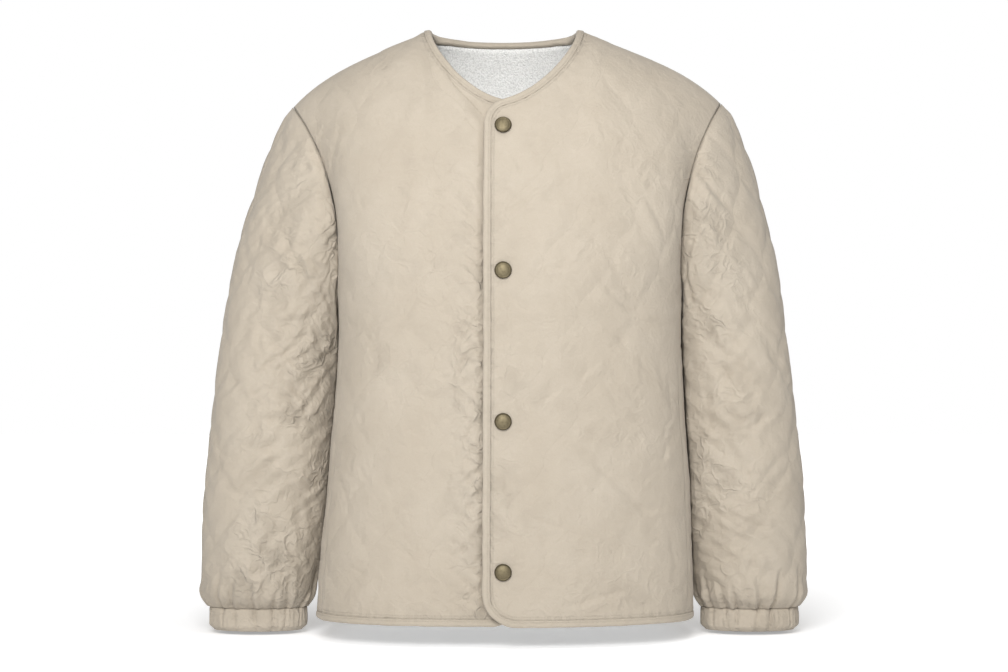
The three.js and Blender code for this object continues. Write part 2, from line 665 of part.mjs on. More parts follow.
function sleeve(side) {
  const x = side === 'left' ? 1 : -1;
  const ring = armholeRing(side);
  const lines = ring.map((start, i) => sleeveLine(i, start, side));
  const levels = range(STEPS.sleeve).map((k) => k / STEPS.sleeve);
  const grid = levels.map((share) => lines.map((line) => {
    const p = along(line, share);
    return p.setX(x * p.x);
  }));
  const axis = (p) => V(p.x - x * 262, p.y - SLEEVE_Y, 0);
  const outward = (p) => (p.z > -200 ? V(x * 0.3, (p.y - 10) / 90, 0.6) : axis(p));
  const normals = ringNormals(grid, outward);
  ring.forEach(({ n }, i) => {
    normals[0][i].lerp(n, 1 - smooth(0.5, 0.85, lowShare(i))).normalize();
    normals.at(-1)[i].setZ(0).normalize();
  });
  const outer = (i, j) => {
    const { z } = grid[j][i];
    const round = (i / AROUND) * SLEEVE_ROUND;
    const fade = smooth(0, 2, Math.min(j, STEPS.sleeve - j));
    const underarm = Math.exp(-(((i / AROUND - 0.5) / 0.14) ** 2));
    const puff = QUILT.puff * (quiltPuff(round, z) - 0.6) - foldDepth(SLEEVE_FOLDS, round, z);
    const pleat = smooth(0, SLEEVE_PLEAT.tall, CUFF.top + SLEEVE_PLEAT.tall - z);
    const sewn = j === STEPS.sleeve ? 0.5 : 1;
    return fade * (1 - 0.8 * underarm) * puff + SLEEVE_PLEAT.deep * pleatWave(i) * pleat * sewn;
  };
  piece(`sleeve_${side}`, wall({
    grid, normals, outer, inner: () => WALL.sleeve, innerStep: 2, closed: true,
  }), COLOUR.quilt);
}

function cuff(side) {
  const x = side === 'left' ? 1 : -1;
  const grid = range(STEPS.cuff).map((j) => range(AROUND - 1).map((i) => {
    const angle = (2 * Math.PI * i) / AROUND;
    const z = mix(CUFF.top - GAP, CUFF.bottom, j / STEPS.cuff);
    return V(
      x * (CUFF.centre + CUFF.halfWidth * Math.cos(angle)),
      SLEEVE_Y - CUFF.halfDepth * Math.sin(angle),
      z,
    );
  }));
  const normals = ringNormals(grid, (p) => V(p.x - x * CUFF.centre, p.y - SLEEVE_Y, 0));
  piece(`cuff_${side}`, wall({
    grid,
    normals,
    outer: (i) => CUFF.pleat * pleatWave(i),
    inner: () => WALL.cuff,
    closed: true,
  }), COLOUR.binding);
}

for (const side of ['left', 'right']) {
  sleeve(side);
  cuff(side);
}

// ---- snaps ----

// A domed cap with a rolled rim, turned about its own axis.
function snapGeometry() {
  const { radius, height } = SNAP;
  const profile = [
    [0, 0], [radius - 0.8, 0], [radius, 0.8], [radius, 1.4], [radius - 0.9, 2.1],
    [radius - 2, 1.7], [radius * 0.5, height - 0.7], [0, height],
  ].map(([r, y]) => new THREE.Vector2(r, y));
  return new THREE.LatheGeometry(profile, 20);
}

// The snaps stand on the over front, square to it.
function snaps() {
  SNAP_LEVELS.forEach((z, k) => {
    // The column and the way up it are drawn to the snap's place in turn.
    let [column, up] = [0.13, (z - HEM_Z) / (CHEST_Z - HEM_Z)];
    const at = () => bodyPoint(column, up, 'left', 'front', PANEL_INSET);
    for (let turn = 0; turn < 12; turn += 1) {
      column += (SNAP.x - at().x) / 100;
      up = THREE.MathUtils.clamp(up + (z - at().z) / 400, 0, 2);
    }
    const normal = bodyNormal(column, up, 'left', 'front', PANEL_INSET);
    const p = at();
    const mesh = piece(`snap_${k + 1}`, snapGeometry(), COLOUR.brass, 0.4, 0.9);
    mesh.position.copy(p.addScaledVector(normal, SNAP_SEAT));
    mesh.quaternion.setFromUnitVectors(V(0, 1, 0), normal);
  });
}
snaps();

export default group;
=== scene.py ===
"""A collarless quilted jacket, filled out as if worn: shell panels with their quilting and creases,
bound edges, set-in sleeves with gathered cuffs, a fleece back lining and four brass snaps."""

import bpy
import mathutils
import numpy as np
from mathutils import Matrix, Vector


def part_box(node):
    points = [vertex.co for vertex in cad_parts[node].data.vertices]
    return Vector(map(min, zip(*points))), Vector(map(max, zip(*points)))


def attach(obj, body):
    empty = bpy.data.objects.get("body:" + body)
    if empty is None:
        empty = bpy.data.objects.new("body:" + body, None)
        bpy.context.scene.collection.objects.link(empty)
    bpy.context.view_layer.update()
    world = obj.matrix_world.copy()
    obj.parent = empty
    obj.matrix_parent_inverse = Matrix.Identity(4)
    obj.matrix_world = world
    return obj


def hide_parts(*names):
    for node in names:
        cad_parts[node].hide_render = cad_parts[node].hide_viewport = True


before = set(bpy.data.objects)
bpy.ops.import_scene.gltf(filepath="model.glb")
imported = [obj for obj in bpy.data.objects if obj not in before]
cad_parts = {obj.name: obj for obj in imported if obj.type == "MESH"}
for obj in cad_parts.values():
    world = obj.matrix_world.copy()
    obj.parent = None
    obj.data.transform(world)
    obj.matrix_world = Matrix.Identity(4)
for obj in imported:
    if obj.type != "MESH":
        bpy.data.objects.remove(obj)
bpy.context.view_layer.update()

# ---- the jacket's own measures, in millimetres, as its solids have them ----

HEM_Z, CHEST_Z = -653.0, -290.0
SIDE_Y, RIDGE_Y = -30.0, 12.0
SECTION_POWER = {"front": 2.4, "back": 2.9}
SECTION_Z = [-653, -540, -430, -345, -290]
HALF = {"right": [207, 198, 188, 183, 184], "left": [209, 206, 200, 195, 196]}
DEPTH = {"front": [121, 119, 117, 118, 119], "back": [170, 164, 158, 157, 158]}

NECK_HALF, NECK_FRONT_DROP, NECK_BACK_DROP, NECK_BACK_Y = 82.0, 86.0, 7.0, 70.0
NECK_POWER, NECK_RISE = 1.5, 11.0
SHOULDER_X, SHOULDER_Z = {"left": 244.0, "right": 237.0}, {"left": -82.0, "right": -86.0}
FLARE, ARMHOLE_DRAW, ARMHOLE_PACE = 3.0, 0.7, 0.72
ARMHOLE = [  # share of the way down, share of the way in, y on the front and on the back
    (0, 0, 12, 12),
    (0.035, 0.1, -10, 32),
    (0.13, 0.34, -36, 54),
    (0.32, 0.7, -58, 66),
    (0.58, 0.98, -66, 64),
    (0.84, 1.04, -54, 30),
    (1, 1, -30, -30),
]

LAP_EDGE, LAP_LIFT, LAP_FADE, LAP_RIDGE = 21.5, 6.0, (24, 150), 80.0
HEM_CORNER, NECK_CORNER = 35.0, 28.0
WALL = {"front": 7.0, "back": 4.0, "lining": 3.0, "sleeve": 5.0, "cuff": 4.5}
LINING_GAP = 1.1
BINDING = 6.6
PANEL_INSET = BINDING + 0.35

SLEEVE_Y, SLEEVE_CLEAR, SLEEVE_TOP_Z, SLEEVE_ROUND = 12.0, 3.2, -375.0, 430.0
SLEEVE_Z = [-646, -628, -600, -530, -440, -375]
SLEEVE_OUT = [330, 338, 339, 337, 329, 322]
SLEEVE_WIDTH = [108, 124, 134, 140, 139, 136]
SLEEVE_DEPTH = [36, 54, 60, 63, 65, 65]
CUFF_TOP, CUFF_BOTTOM, CUFF_CENTRE, CUFF_HALF, CUFF_DEPTH = -646.0, -672.0, 276.0, 54.0, 36.0

QUILT_WIDTH, QUILT_HEIGHT = 66.0, 106.0
SNAP_X, SNAP_LEVELS = -1.0, [-117, -273, -434, -594]

SIGN = {"left": 1.0, "right": -1.0}
MIRROR = {side: np.array([sign, 1, 1]) for side, sign in SIGN.items()}
BODY_ROUND = 262  # once round a quarter of the body
QUARTER = 250.0  # the same, as the shares of a section count it
PINCHES = 17  # gathers round each cuff
SLEEVE_MIDDLE = 262.0
FAR = 100.0  # a distance that no pattern reaches

# ---- small tools ----


def mix(a, b, t):
    return a + (b - a) * t


def smooth(low, high, v):
    t = np.clip((v - low) / (high - low), 0, 1)
    return t * t * (3 - 2 * t)


def bell(v):
    """1 at 0, falling to 0 on both sides."""
    return np.exp(-(v**2))


def unit(v):
    return v / np.maximum(np.linalg.norm(v, axis=-1, keepdims=True), 1e-12)


def facing(n, way):
    """Normals turned to the side of way."""
    return np.where(((n * way).sum(-1) < 0)[..., None], -n, n)


def vec(x, y, z):
    return np.stack(np.broadcast_arrays(x, y, z), -1).astype(float)


def read(keys, values, at):
    """A smooth curve through a table whose keys rise."""
    keys, values = np.asarray(keys, float), np.asarray(values, float)
    last = len(keys) - 1
    i = np.clip(np.searchsorted(keys, at, side="right") - 1, 0, last - 1)
    before, after = np.maximum(i - 1, 0), np.minimum(i + 2, last)
    span = keys[i + 1] - keys[i]
    t = np.clip((at - keys[i]) / span, 0, 1)
    slope_a = (values[i + 1] - values[before]) / (keys[i + 1] - keys[before]) * span
    slope_b = (values[after] - values[i]) / (keys[after] - keys[i]) * span
    t2, t3 = t * t, t * t * t
    low = (2 * t3 - 3 * t2 + 1) * values[i] + (t3 - 2 * t2 + t) * slope_a
    return low + (3 * t2 - 2 * t3) * values[i + 1] + (t3 - t2) * slope_b


def run_of(line):
    """How far along a line each of its points is."""
    return np.concatenate([[0], np.cumsum(np.linalg.norm(np.diff(line, axis=0), axis=1))])


def along(line, share):
    """The points a share of the way along a line."""
    run = run_of(line)
    at = np.asarray(share) * run[-1]
    return np.stack([np.interp(at, run, line[:, k]) for k in range(3)], -1)


def spline(points, steps):
    """A smooth curve through points."""
    p = np.asarray(points, float)
    p = np.vstack([2 * p[0] - p[1], p, 2 * p[-1] - p[-2]])
    out = []
    for a, b, c, d in zip(p, p[1:], p[2:], p[3:]):
        da, db, dc = (np.sqrt(np.linalg.norm(v)) for v in (b - a, c - b, d - c))
        ta = ((b - a) / da - (c - a) / (da + db) + (c - b) / db) * db
        tb = ((c - b) / db - (d - b) / (db + dc) + (d - c) / dc) * db
        t = np.linspace(0, 1, steps, endpoint=False)[:, None]
        out.append(b + ta * t + (3 * c - 3 * b - 2 * ta - tb) * t**2 + (2 * b - 2 * c + ta + tb) * t**3)
    return np.vstack([*out, p[-2]])


def noise(x, y, seed):
    """Smooth noise from -1 to 1 with features one unit across."""
    table = np.random.default_rng(seed).uniform(-1, 1, (64, 64))
    xi, yi = np.floor(x).astype(int), np.floor(y).astype(int)
    fx, fy = x - xi, y - yi
    sx, sy = fx * fx * (3 - 2 * fx), fy * fy * (3 - 2 * fy)
    at = lambda i, j: table[(xi + i) % 64, (yi + j) % 64]
    return mix(mix(at(0, 0), at(1, 0), sx), mix(at(0, 1), at(1, 1), sx), sy)


# ---- the body's surface ----

ANGLES = np.linspace(0, np.pi / 2, 97)


def section_point(z, side, face, share):
    z, share = np.broadcast_arrays(np.asarray(z, float), np.asarray(share, float))
    half = read(SECTION_Z, HALF[side], z)[..., None]
    depth = read(SECTION_Z, DEPTH[face], z)[..., None] * (-1 if face == "front" else 1)
    power = 2 / SECTION_POWER[face]
    x = half * np.sin(ANGLES) ** power
    y = SIDE_Y + depth * np.abs(np.cos(ANGLES)) ** power
    run = np.cumsum(np.hypot(np.diff(x), np.diff(y)), -1)
    run = np.concatenate([np.zeros_like(run[..., :1]), run], -1)
    at = np.abs(share)[..., None] * run[..., -1:]
    i = np.clip((run < at).sum(-1, keepdims=True), 1, len(ANGLES) - 1)
    take = lambda v, k: np.take_along_axis(v, k, -1)[..., 0]
    t = (at[..., 0] - take(run, i - 1)) / (take(run, i) - take(run, i - 1))
    px = mix(take(x, i - 1), take(x, i), t) * np.where(share < 0, -1, 1)
    return vec(px, mix(take(y, i - 1), take(y, i), t), z)


def body_reach(y, z, side):
    level = np.minimum(z, CHEST_Z)
    front = y < SIDE_Y
    depth = np.where(front, read(SECTION_Z, DEPTH["front"], level), read(SECTION_Z, DEPTH["back"], level))
    power = np.where(front, SECTION_POWER["front"], SECTION_POWER["back"])
    off = np.minimum(np.abs(y - SIDE_Y) / depth, 1)
    return read(SECTION_Z, HALF[side], level) * (1 - off**power) ** (1 / power)


def neck_surface_y(x, z, side):
    chest = section_point(CHEST_Z, side, "front", x / QUARTER)[..., 1]
    top = NECK_RISE * (1 - (x / NECK_HALF) ** 2)
    t = np.clip((z - CHEST_Z) / (top - CHEST_Z), 0, 1)
    return RIDGE_Y + (chest - RIDGE_Y) * np.sqrt(1 - t * t)


def front_neck_line(side):
    flat = mix(-LAP_EDGE, 0, np.linspace(0, 1, 33) ** 2)
    angle = np.linspace(0, np.pi / 2, 113)[1:]
    x = np.concatenate([flat, NECK_HALF * np.sin(angle) ** (2 / NECK_POWER)])
    drop = NECK_FRONT_DROP * np.abs(np.cos(angle)) ** (2 / NECK_POWER)
    z = np.concatenate([np.full(33, -NECK_FRONT_DROP), -drop])
    left = np.clip(NECK_CORNER - (x + LAP_EDGE), 0, None)
    z = z - (NECK_CORNER - np.sqrt(NECK_CORNER**2 - left**2))
    return vec(x, neck_surface_y(x, z, side), z)


def back_neck_line():
    angle = np.linspace(0, np.pi / 2, 97)
    c = np.cos(angle)
    return vec(NECK_HALF * np.sin(angle), mix(RIDGE_Y, NECK_BACK_Y, c), -NECK_BACK_DROP * c)


FRONT_NECK = {side: front_neck_line(side) for side in SIGN}
BACK_NECK = back_neck_line()


def neck_point(share, side, face, inset):
    line = FRONT_NECK[side] if face == "front" else BACK_NECK
    p = along(line, share)
    t = along(line, np.minimum(share + 0.01, 1)) - along(line, np.maximum(share - 0.01, 0))
    if face == "front":
        p = p + unit(vec(t[..., 2], 0, -t[..., 0])) * inset
        p[..., 1] = neck_surface_y(p[..., 0], p[..., 2], side)
        return p
    t = unit(t)
    inward = mix(np.array([0, 0.5, -0.86]), np.array([1, 0, -0.2]), (share**2)[..., None])
    inward = inward - t * (inward * t).sum(-1, keepdims=True)
    return p + unit(inward) * inset


def shoulder_seam(share, side, inset):
    x = mix(NECK_HALF + inset, SHOULDER_X[side], share)
    t = np.clip((x - NECK_HALF) / (SHOULDER_X[side] - NECK_HALF), 0, None)
    return vec(x, RIDGE_Y, SHOULDER_Z[side] * (0.75 * t + 0.25 * t**5))


def armhole_line(side, face):
    half = read(SECTION_Z, HALF[side], CHEST_Z)
    k = 2 if face == "front" else 3
    rows = [(mix(SHOULDER_X[side], half, r[1]), r[k], mix(SHOULDER_Z[side], CHEST_Z, r[0])) for r in ARMHOLE]
    return spline(rows, 40)


ARMHOLES = {(side, face): armhole_line(side, face) for side in SIGN for face in DEPTH}


def column_share(column, face, inset):
    edge = (inset - LAP_EDGE) / QUARTER if face == "front" else 0.0
    return np.where(column <= 1, mix(edge, 0.4, column), mix(0.4, 1, column - 1))


def lower_point(column, up, side, face, inset):
    share = column_share(column, face, inset)
    foot = np.full_like(share, HEM_Z + inset)
    if face == "front":
        radius = HEM_CORNER - inset
        left = np.clip(radius - (share - column_share(0.0, face, inset)) * QUARTER, 0, None)
        foot = foot + radius - np.sqrt(radius**2 - left**2)
    return section_point(mix(foot, CHEST_Z, up), side, face, share)


def arch_point(column, up, side, face, inset):
    chest = lower_point(column, 1.0, side, face, inset)
    neck = neck_point(np.minimum(column, 1) ** (1.3 if face == "front" else 1), side, face, inset)
    top = np.where((column < 1)[..., None], neck, shoulder_seam(np.maximum(column - 1, 0), side, inset))
    over = np.clip((top[..., 1] - RIDGE_Y) / (chest[..., 1] - RIDGE_Y), 0, 0.95)
    turn = np.arccos(over)
    rise = np.sin(turn * up) / np.sin(turn)
    y = mix(top[..., 1], chest[..., 1], (np.cos(turn * up) - over) / (1 - over))
    x = mix(chest[..., 0], top[..., 0], rise**FLARE)
    return vec(x, y, mix(chest[..., 2], top[..., 2], rise))


def smooth_point(column, up, side, face, inset):
    above = np.maximum(up - 1, 0)
    p = arch_point(column, above, side, face, inset)
    hub = arch_point(np.full_like(column, ARMHOLE_DRAW), above, side, face, inset)
    end = arch_point(np.full_like(column, 2.0), above, side, face, inset)
    seam = along(ARMHOLES[side, face], 1 - above**ARMHOLE_PACE)
    part = np.clip((column - ARMHOLE_DRAW) / (2 - ARMHOLE_DRAW), 0, None)
    drawn = p.copy()
    for k in (0, 1):
        way = (p[..., k] - hub[..., k]) / (end[..., k] - hub[..., k])
        drawn[..., k] = hub[..., k] + way * (seam[..., k] - hub[..., k])
    drawn[..., 2] += (seam[..., 2] - end[..., 2]) * part**1.4
    p = np.where((part > 0)[..., None], drawn, p)
    low = lower_point(column, np.minimum(up, 1), side, face, inset)
    return np.where((up <= 1)[..., None], low, p)


def body_point(column, up, side, face, inset):
    """A point of the body's smooth surface, on the wearer's left whichever side it is."""
    column, up = (v.astype(float) for v in np.broadcast_arrays(column, up))
    p = smooth_point(column, up, side, face, inset)
    if face == "front":
        share = (1 - smooth(*LAP_FADE, p[..., 0])) * smooth(0, LAP_RIDGE, RIDGE_Y - p[..., 1])
        p[..., 1] -= share * LAP_LIFT * SIGN[side]
    return p


SHOULDER_NORMAL = unit(np.array([0.42, 0, 0.9]))


def outward(p):
    """Roughly the way out of the body at p."""
    return vec(p[..., 0], p[..., 1] - SIDE_Y - 10, np.where(p[..., 2] > -120, 120, 0))


def body_normal(column, up, side, face, inset):
    column, up = (v.astype(float) for v in np.broadcast_arrays(column, up))
    c, u = np.clip(column, 0.04, 1.96), np.clip(up, 0.02, 1.97)
    at = lambda dc, du: body_point(c + dc, u + du, side, face, inset)
    n = unit(np.cross(at(0.03, 0) - at(-0.03, 0), at(0, 0.02) - at(0, -0.02)))
    n = facing(n, outward(at(0, 0)))
    n = np.where(((column >= 2) & (up <= 1))[..., None], np.array([1.0, 0, 0]), n)
    return np.where(((up >= 2) & (column >= 1))[..., None], SHOULDER_NORMAL, n)


def arch_normal(p, side, face):
    """The outward normal above the underarm level, away from the armhole."""
    x = p[..., 0]
    depth = lambda at: section_point(CHEST_Z, side, face, at / QUARTER)[..., 1] - RIDGE_Y
    c = depth(x)
    v, w = (p[..., 1] - RIDGE_Y) / c, (p[..., 2] - CHEST_Z) / -CHEST_Z
    bend = -v * v * (depth(x + 8) - depth(x - 8)) / 16 / c
    slope = 0.42 * w * w * np.minimum(np.abs(x) / NECK_HALF, 1) * np.where(x < 0, -1, 1) / -CHEST_Z
    return unit(vec(bend + slope, v / c, w / -CHEST_Z))


def grid_normals(grid, way, closed=False):
    """Unit normals of a grid of points, on the side of way."""
    down = np.gradient(grid, axis=0)
    if closed:
        across = np.roll(grid, -1, 1) - np.roll(grid, 1, 1)
    else:
        across = np.gradient(grid, axis=1)
    return facing(unit(np.cross(across, down)), way)


# ---- relief ----


def quilt_distance(across, up):
    """Distance from the quilting lines, mirrored waves that meet in onion shapes."""
    half = QUILT_WIDTH / 2
    sway = (QUILT_WIDTH / 4) * np.cos(2 * np.pi * up / QUILT_HEIGHT)
    first = np.floor(across / half) - 1
    near = np.full(np.shape(across), 1e3)
    for k in range(4):
        line = first + k
        near = np.minimum(near, np.abs(across - line * half - np.where(line % 2 == 0, sway, -sway)))
    return near


def crease_height(a, b, rows):
    """Height that creases give at places (a, b). A row has the crease's points, its depth and its
    half width. The cloth stands up along one side of a crease."""
    height = np.zeros(np.shape(a))
    for points, deep, wide in rows:
        pts = np.asarray(points, float)
        length = np.linalg.norm(np.diff(pts, axis=0), axis=1)
        best, side, t_best = np.full(a.shape, 1e9), np.zeros(a.shape), np.zeros(a.shape)
        start = 0.0
        for (ax, az), (bx, bz), size in zip(pts, pts[1:], length):
            dx, dz = (bx - ax) / size, (bz - az) / size
            run = np.clip((a - ax) * dx + (b - az) * dz, 0, size)
            away = np.hypot(a - ax - run * dx, b - az - run * dz)
            nearer = away < best
            signed = (a - ax) * dz - (b - az) * dx
            best = np.where(nearer, away, best)
            side = np.where(nearer, signed, side)
            t_best = np.where(nearer, (start + run) / length.sum(), t_best)
            start += size
        off = np.sign(side) * best
        taper = np.sin(np.pi * np.clip(t_best, 0.04, 0.96)) ** 0.6
        width = wide * (0.6 + 0.4 * taper)
        trough = -np.exp(-np.abs(off / width) ** 1.4)
        lip = 0.55 * bell((off - 1.7 * width) / (1.3 * width))
        height += deep * taper * (trough + lip)
    return height


def scattered(seed, count, box, length, deep, wide, slant):
    """Small creases scattered over a box, mostly along one slant in radians."""
    rng = np.random.default_rng(seed)
    rows = []
    for _ in range(count):
        x, z = rng.uniform(box[0], box[1]), rng.uniform(box[2], box[3])
        turn = slant + rng.normal(0, 0.45)
        size = rng.uniform(0.5, 1) * length
        bend = rng.normal(0, 0.16) * size
        dx, dz = np.cos(turn) * size / 2, np.sin(turn) * size / 2
        middle = (x - bend * np.sin(turn), z + bend * np.cos(turn))
        rows.append(([(x - dx, z - dz), middle, (x + dx, z + dz)], deep * rng.uniform(0.4, 1), wide))
    return rows


def crumple(a, b, seed):
    """Soft puffs with creases between them, 0 to about 1."""
    n1 = noise(a / 31 + 3, b / 27, seed)
    n2 = noise(a / 15, b / 13 + 7, seed + 1)
    return np.sqrt(n1**2 + 0.004) + 0.45 * np.sqrt(n2**2 + 0.004) - 0.5


def folds(a, b, seed, rows):
    """Straight sharp folds that come and go. A row has a direction in radians, a spacing and a
    height."""
    wander = 9 * noise(a / 42, b / 42, seed), 9 * noise(a / 38 + 5, b / 38, seed + 1)
    height = np.zeros(np.shape(a))
    for k, (turn, spacing, high) in enumerate(rows):
        across = ((a + wander[0]) * np.sin(turn) - (b + wander[1]) * np.cos(turn)) / spacing
        saw = np.abs(across - np.round(across))
        patch = smooth(-0.05, 0.5, noise(a / 55 + 7 * k, b / 46, seed + 2 + k))
        height += high * patch * (np.sqrt((saw - 0.25) ** 2 + (0.9 / spacing) ** 2) * -2 + 0.35)
    return height


def creases(text):
    """Creases from lines that each give a depth, a half width and then the crease's points."""
    rows = []
    for line in text.split("\n"):
        deep, wide, *at = (float(word) for word in line.split())
        rows.append((list(zip(at[::2], at[1::2])), deep, wide))
    return rows


# Creases of the fronts and back, placed at x and z as seen from the front.
CREASES = {
    "front_left": creases(
        """1.9 3.4  -6 -216  18 -203  46 -179
0.8 3  -6 -228  14 -222
1.9 4.2  96 -272  114 -296  134 -314  176 -331
0.9 4  104 -226  90 -250  72 -270
0.9 3.4  107 -250  124 -279
1.7 4  152 -192  164 -214  173 -236
1 4.4  120 -150  128 -172  136 -200
1.2 3  7 -302  27 -318
0.9 3  16 -330  24 -348
0.9 3  33 -362  46 -376
1 3  144 -367  154 -381
1 3.2  37 -416  56 -402
1.1 3.6  104 -388  114 -404  124 -424
0.8 3.4  80 -387  103 -370
1.5 3.6  178 -386  184 -432
0.8 3.2  40 -270  72 -271
1.9 5  -14 -462  2 -498  18 -552
1.7 5  60 -452  96 -476  126 -506  152 -531
1.2 3.6  128 -520  150 -529  172 -530
1.6 4  58 -633  96 -624  136 -612
1 5  38 -537  44 -566  48 -596
1 3.4  166 -372  176 -410  186 -424
0.8 5  60 -560  84 -578  110 -580
0.8 3.4  20 -128  34 -122  48 -108
0.7 3.4  4 -140  16 -160  18 -178
0.6 5  60 -92  78 -118  86 -152
1.1 3.2  180 -560  186 -590  182 -612"""
    ),
    "front_right": creases(
        """2.5 4.4  -21 -350  -36 -360  -54 -384
1.3 3.6  -20 -318  -30 -326  -40 -344
1.5 4.2  -20 -372  -34 -390  -62 -404
1.3 3.2  -20 -404  -30 -410
2.1 4  -20 -428  -32 -438  -46 -462
1.8 3.6  -20 -450  -34 -464  -40 -478
2.3 4.2  -20 -474  -30 -490  -52 -506
2.5 4.2  -20 -500  -30 -516  -42 -534
1.5 3.4  -20 -528  -32 -540
2.3 4.4  -20 -546  -34 -562  -58 -582
1.8 4  -21 -574  -34 -594  -42 -612
1.9 3.8  -20 -604  -34 -616  -56 -628
1 3  -20 -290  -30 -300
0.9 3.2  -20 -262  -30 -270  -36 -284
0.9 3  -24 -204  -34 -196
1.1 3.8  -144 -335  -122 -327  -104 -320  -89 -294  -78 -280
1 3.4  -62 -295  -48 -276
1.2 3.2  -60 -234  -44 -252
0.9 3  -52 -224  -38 -236
0.8 3  -153 -312  -144 -306
0.8 3.4  -128 -412  -98 -423
0.9 3.2  -68 -435  -46 -425
0.8 3.2  -102 -440  -84 -453
0.9 3.6  -163 -422  -152 -404  -122 -398
1.1 3.6  -118 -184  -98 -200
1.1 3.4  -93 -200  -80 -219
1.3 3.6  -48 -160  -25 -173
1.2 4.4  -126 -538  -108 -514  -88 -494
1.1 3.8  -165 -590  -150 -600  -136 -606
0.9 5  -120 -566  -96 -580  -70 -574
1 5  -60 -520  -70 -548  -92 -566
0.9 4  -112 -616  -86 -606  -60 -612
0.7 5.5  -70 -400  -84 -446  -104 -474
1.2 4  -180 -120  -188 -150  -190 -176
1.4 3.4  -200 -118  -203 -134"""
    ),
    "back": creases(
        """1.9 5  -150 -186  -124 -220  -92 -264
1.9 5  152 -178  120 -208  86 -250
1.7 5  -120 -440  -74 -456  -18 -474
1.8 5  24 -500  70 -476  130 -460
1.5 4.6  -152 -560  -110 -572  -58 -594
1.1 4  40 -316  76 -302  104 -276
0.9 4.6  -20 -150  -8 -190  -16 -226
1 4  -70 -330  -40 -352  -30 -384
1.1 4  120 -560  146 -540  168 -532
1.2 4  -168 -330  -150 -356  -146 -384
1.2 4  60 -610  96 -600  126 -604
1 4  -30 -590  0 -600  26 -618
1.2 4  164 -400  148 -424  146 -450
0.8 4.6  -90 -120  -60 -138  -30 -134
0.8 4.6  30 -126  58 -142  90 -140"""
    ),
}

# Creases of the sleeves: the way round from the outer line by the front, then z.
SLEEVE_CREASES = {
    "right": creases(
        """1.9 5  150 -128  160 -166  176 -214
1.6 4.6  118 -208  146 -224  184 -248
1.8 4  146 -322  166 -306  190 -292
1.9 4  102 -344  128 -370  158 -390
1.2 3.4  120 -352  132 -330  150 -318
1.5 3.6  128 -372  118 -398  122 -420
1.6 3.6  158 -388  146 -408  150 -432
1.5 3.6  122 -420  140 -436  150 -456
1 3.4  104 -408  96 -436  88 -452
1.7 4  150 -456  172 -448  196 -432
1.3 3.6  134 -464  158 -470  190 -458
2.3 3.8  148 -540  170 -526  198 -508
1.6 3.4  140 -528  164 -514  190 -496
1.1 3.6  98 -500  128 -486  160 -484
1 3.6  60 -512  92 -520  118 -514
1.3 3.8  76 -580  96 -566  118 -556
1 3.8  40 -560  66 -552  88 -534
1.3 3.8  92 -604  120 -600  146 -590
1.3 3.8  150 -592  172 -574  186 -552
0.9 3.2  60 -326  74 -318  86 -300
1.1 3.4  84 -338  90 -356  100 -366
0.8 3.4  40 -466  66 -478  84 -472
1.4 4  136 -262  156 -270  182 -264
1.3 3.8  126 -292  148 -286  170 -272"""
    ),
    "left": creases(
        """1.6 4.6  150 -136  164 -172  178 -206
1 4.4  118 -140  136 -160  148 -188
1.8 4.4  134 -222  156 -238  186 -258
1.4 4  138 -204  160 -216  184 -226
1.6 4.4  124 -290  150 -306  184 -328
1.2 4  142 -332  160 -346  188 -356
1.1 4  150 -392  170 -380  192 -372
1.4 4.2  144 -484  100 -516  62 -474
1 3.8  150 -452  132 -470  112 -478
1.1 4  170 -430  154 -452  150 -480
0.9 3.8  60 -548  88 -556  116 -546
1.1 3.8  96 -590  122 -576  150 -574
1.1 4  150 -540  168 -560  176 -588
0.6 4  60 -420  82 -436  104 -434
0.7 4  84 -380  104 -366  130 -362"""
    ),
}
SLEEVE_BACK_CREASES = creases(
    """1.5 4.6  250 -160  270 -196  286 -220
1.6 4.4  236 -250  262 -262  296 -254
1.5 4.2  240 -330  272 -350  306 -346
1.7 4.2  250 -388  282 -400  310 -424
1.7 4.4  300 -420  332 -440  368 -470
1.3 4  244 -460  270 -478  300 -480
1.6 4.4  292 -560  336 -544  386 -520
1.4 4  246 -540  268 -556  280 -584
1.2 3.8  330 -606  356 -594  384 -596"""
)

# ---- meshes ----


def add_object(name, points, faces, uv=None, values=None, materials=(), slots=None):
    """A mesh object from points in millimetres, with uv in metres and named point values."""
    mesh = bpy.data.meshes.new(name)
    mesh.from_pydata((np.asarray(points) / 1000).tolist(), [], faces)
    mesh.polygons.foreach_set("use_smooth", [True] * len(mesh.polygons))
    corner = np.empty(len(mesh.loops), dtype=np.int32)
    mesh.loops.foreach_get("vertex_index", corner)
    if uv is not None:
        layer = mesh.uv_layers.new(name="cloth")
        layer.data.foreach_set("uv", np.asarray(uv, np.float32)[corner].ravel())
    for key, value in (values or {}).items():
        mesh.attributes.new(key, "FLOAT", "POINT").data.foreach_set("value", np.asarray(value, np.float32))
    for m in materials:
        mesh.materials.append(m)
    if slots is not None:
        mesh.polygons.foreach_set("material_index", np.asarray(slots, np.int32))
    mesh.validate()
    mesh.update()
    obj = bpy.data.objects.new(name, mesh)
    bpy.context.scene.collection.objects.link(obj)
    return obj


def ring_faces(rings, size):
    """Faces between closed rings of points."""
    faces = []
    for j in range(0, (rings - 1) * size, size):
        for i in range(size):
            k = (i + 1) % size
            faces.append((j + i, j + k, j + size + k, j + size + i))
    return faces


def dress(obj, node):
    """The object takes the place of a solid."""
    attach(obj, "root")
    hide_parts(node)
    return obj


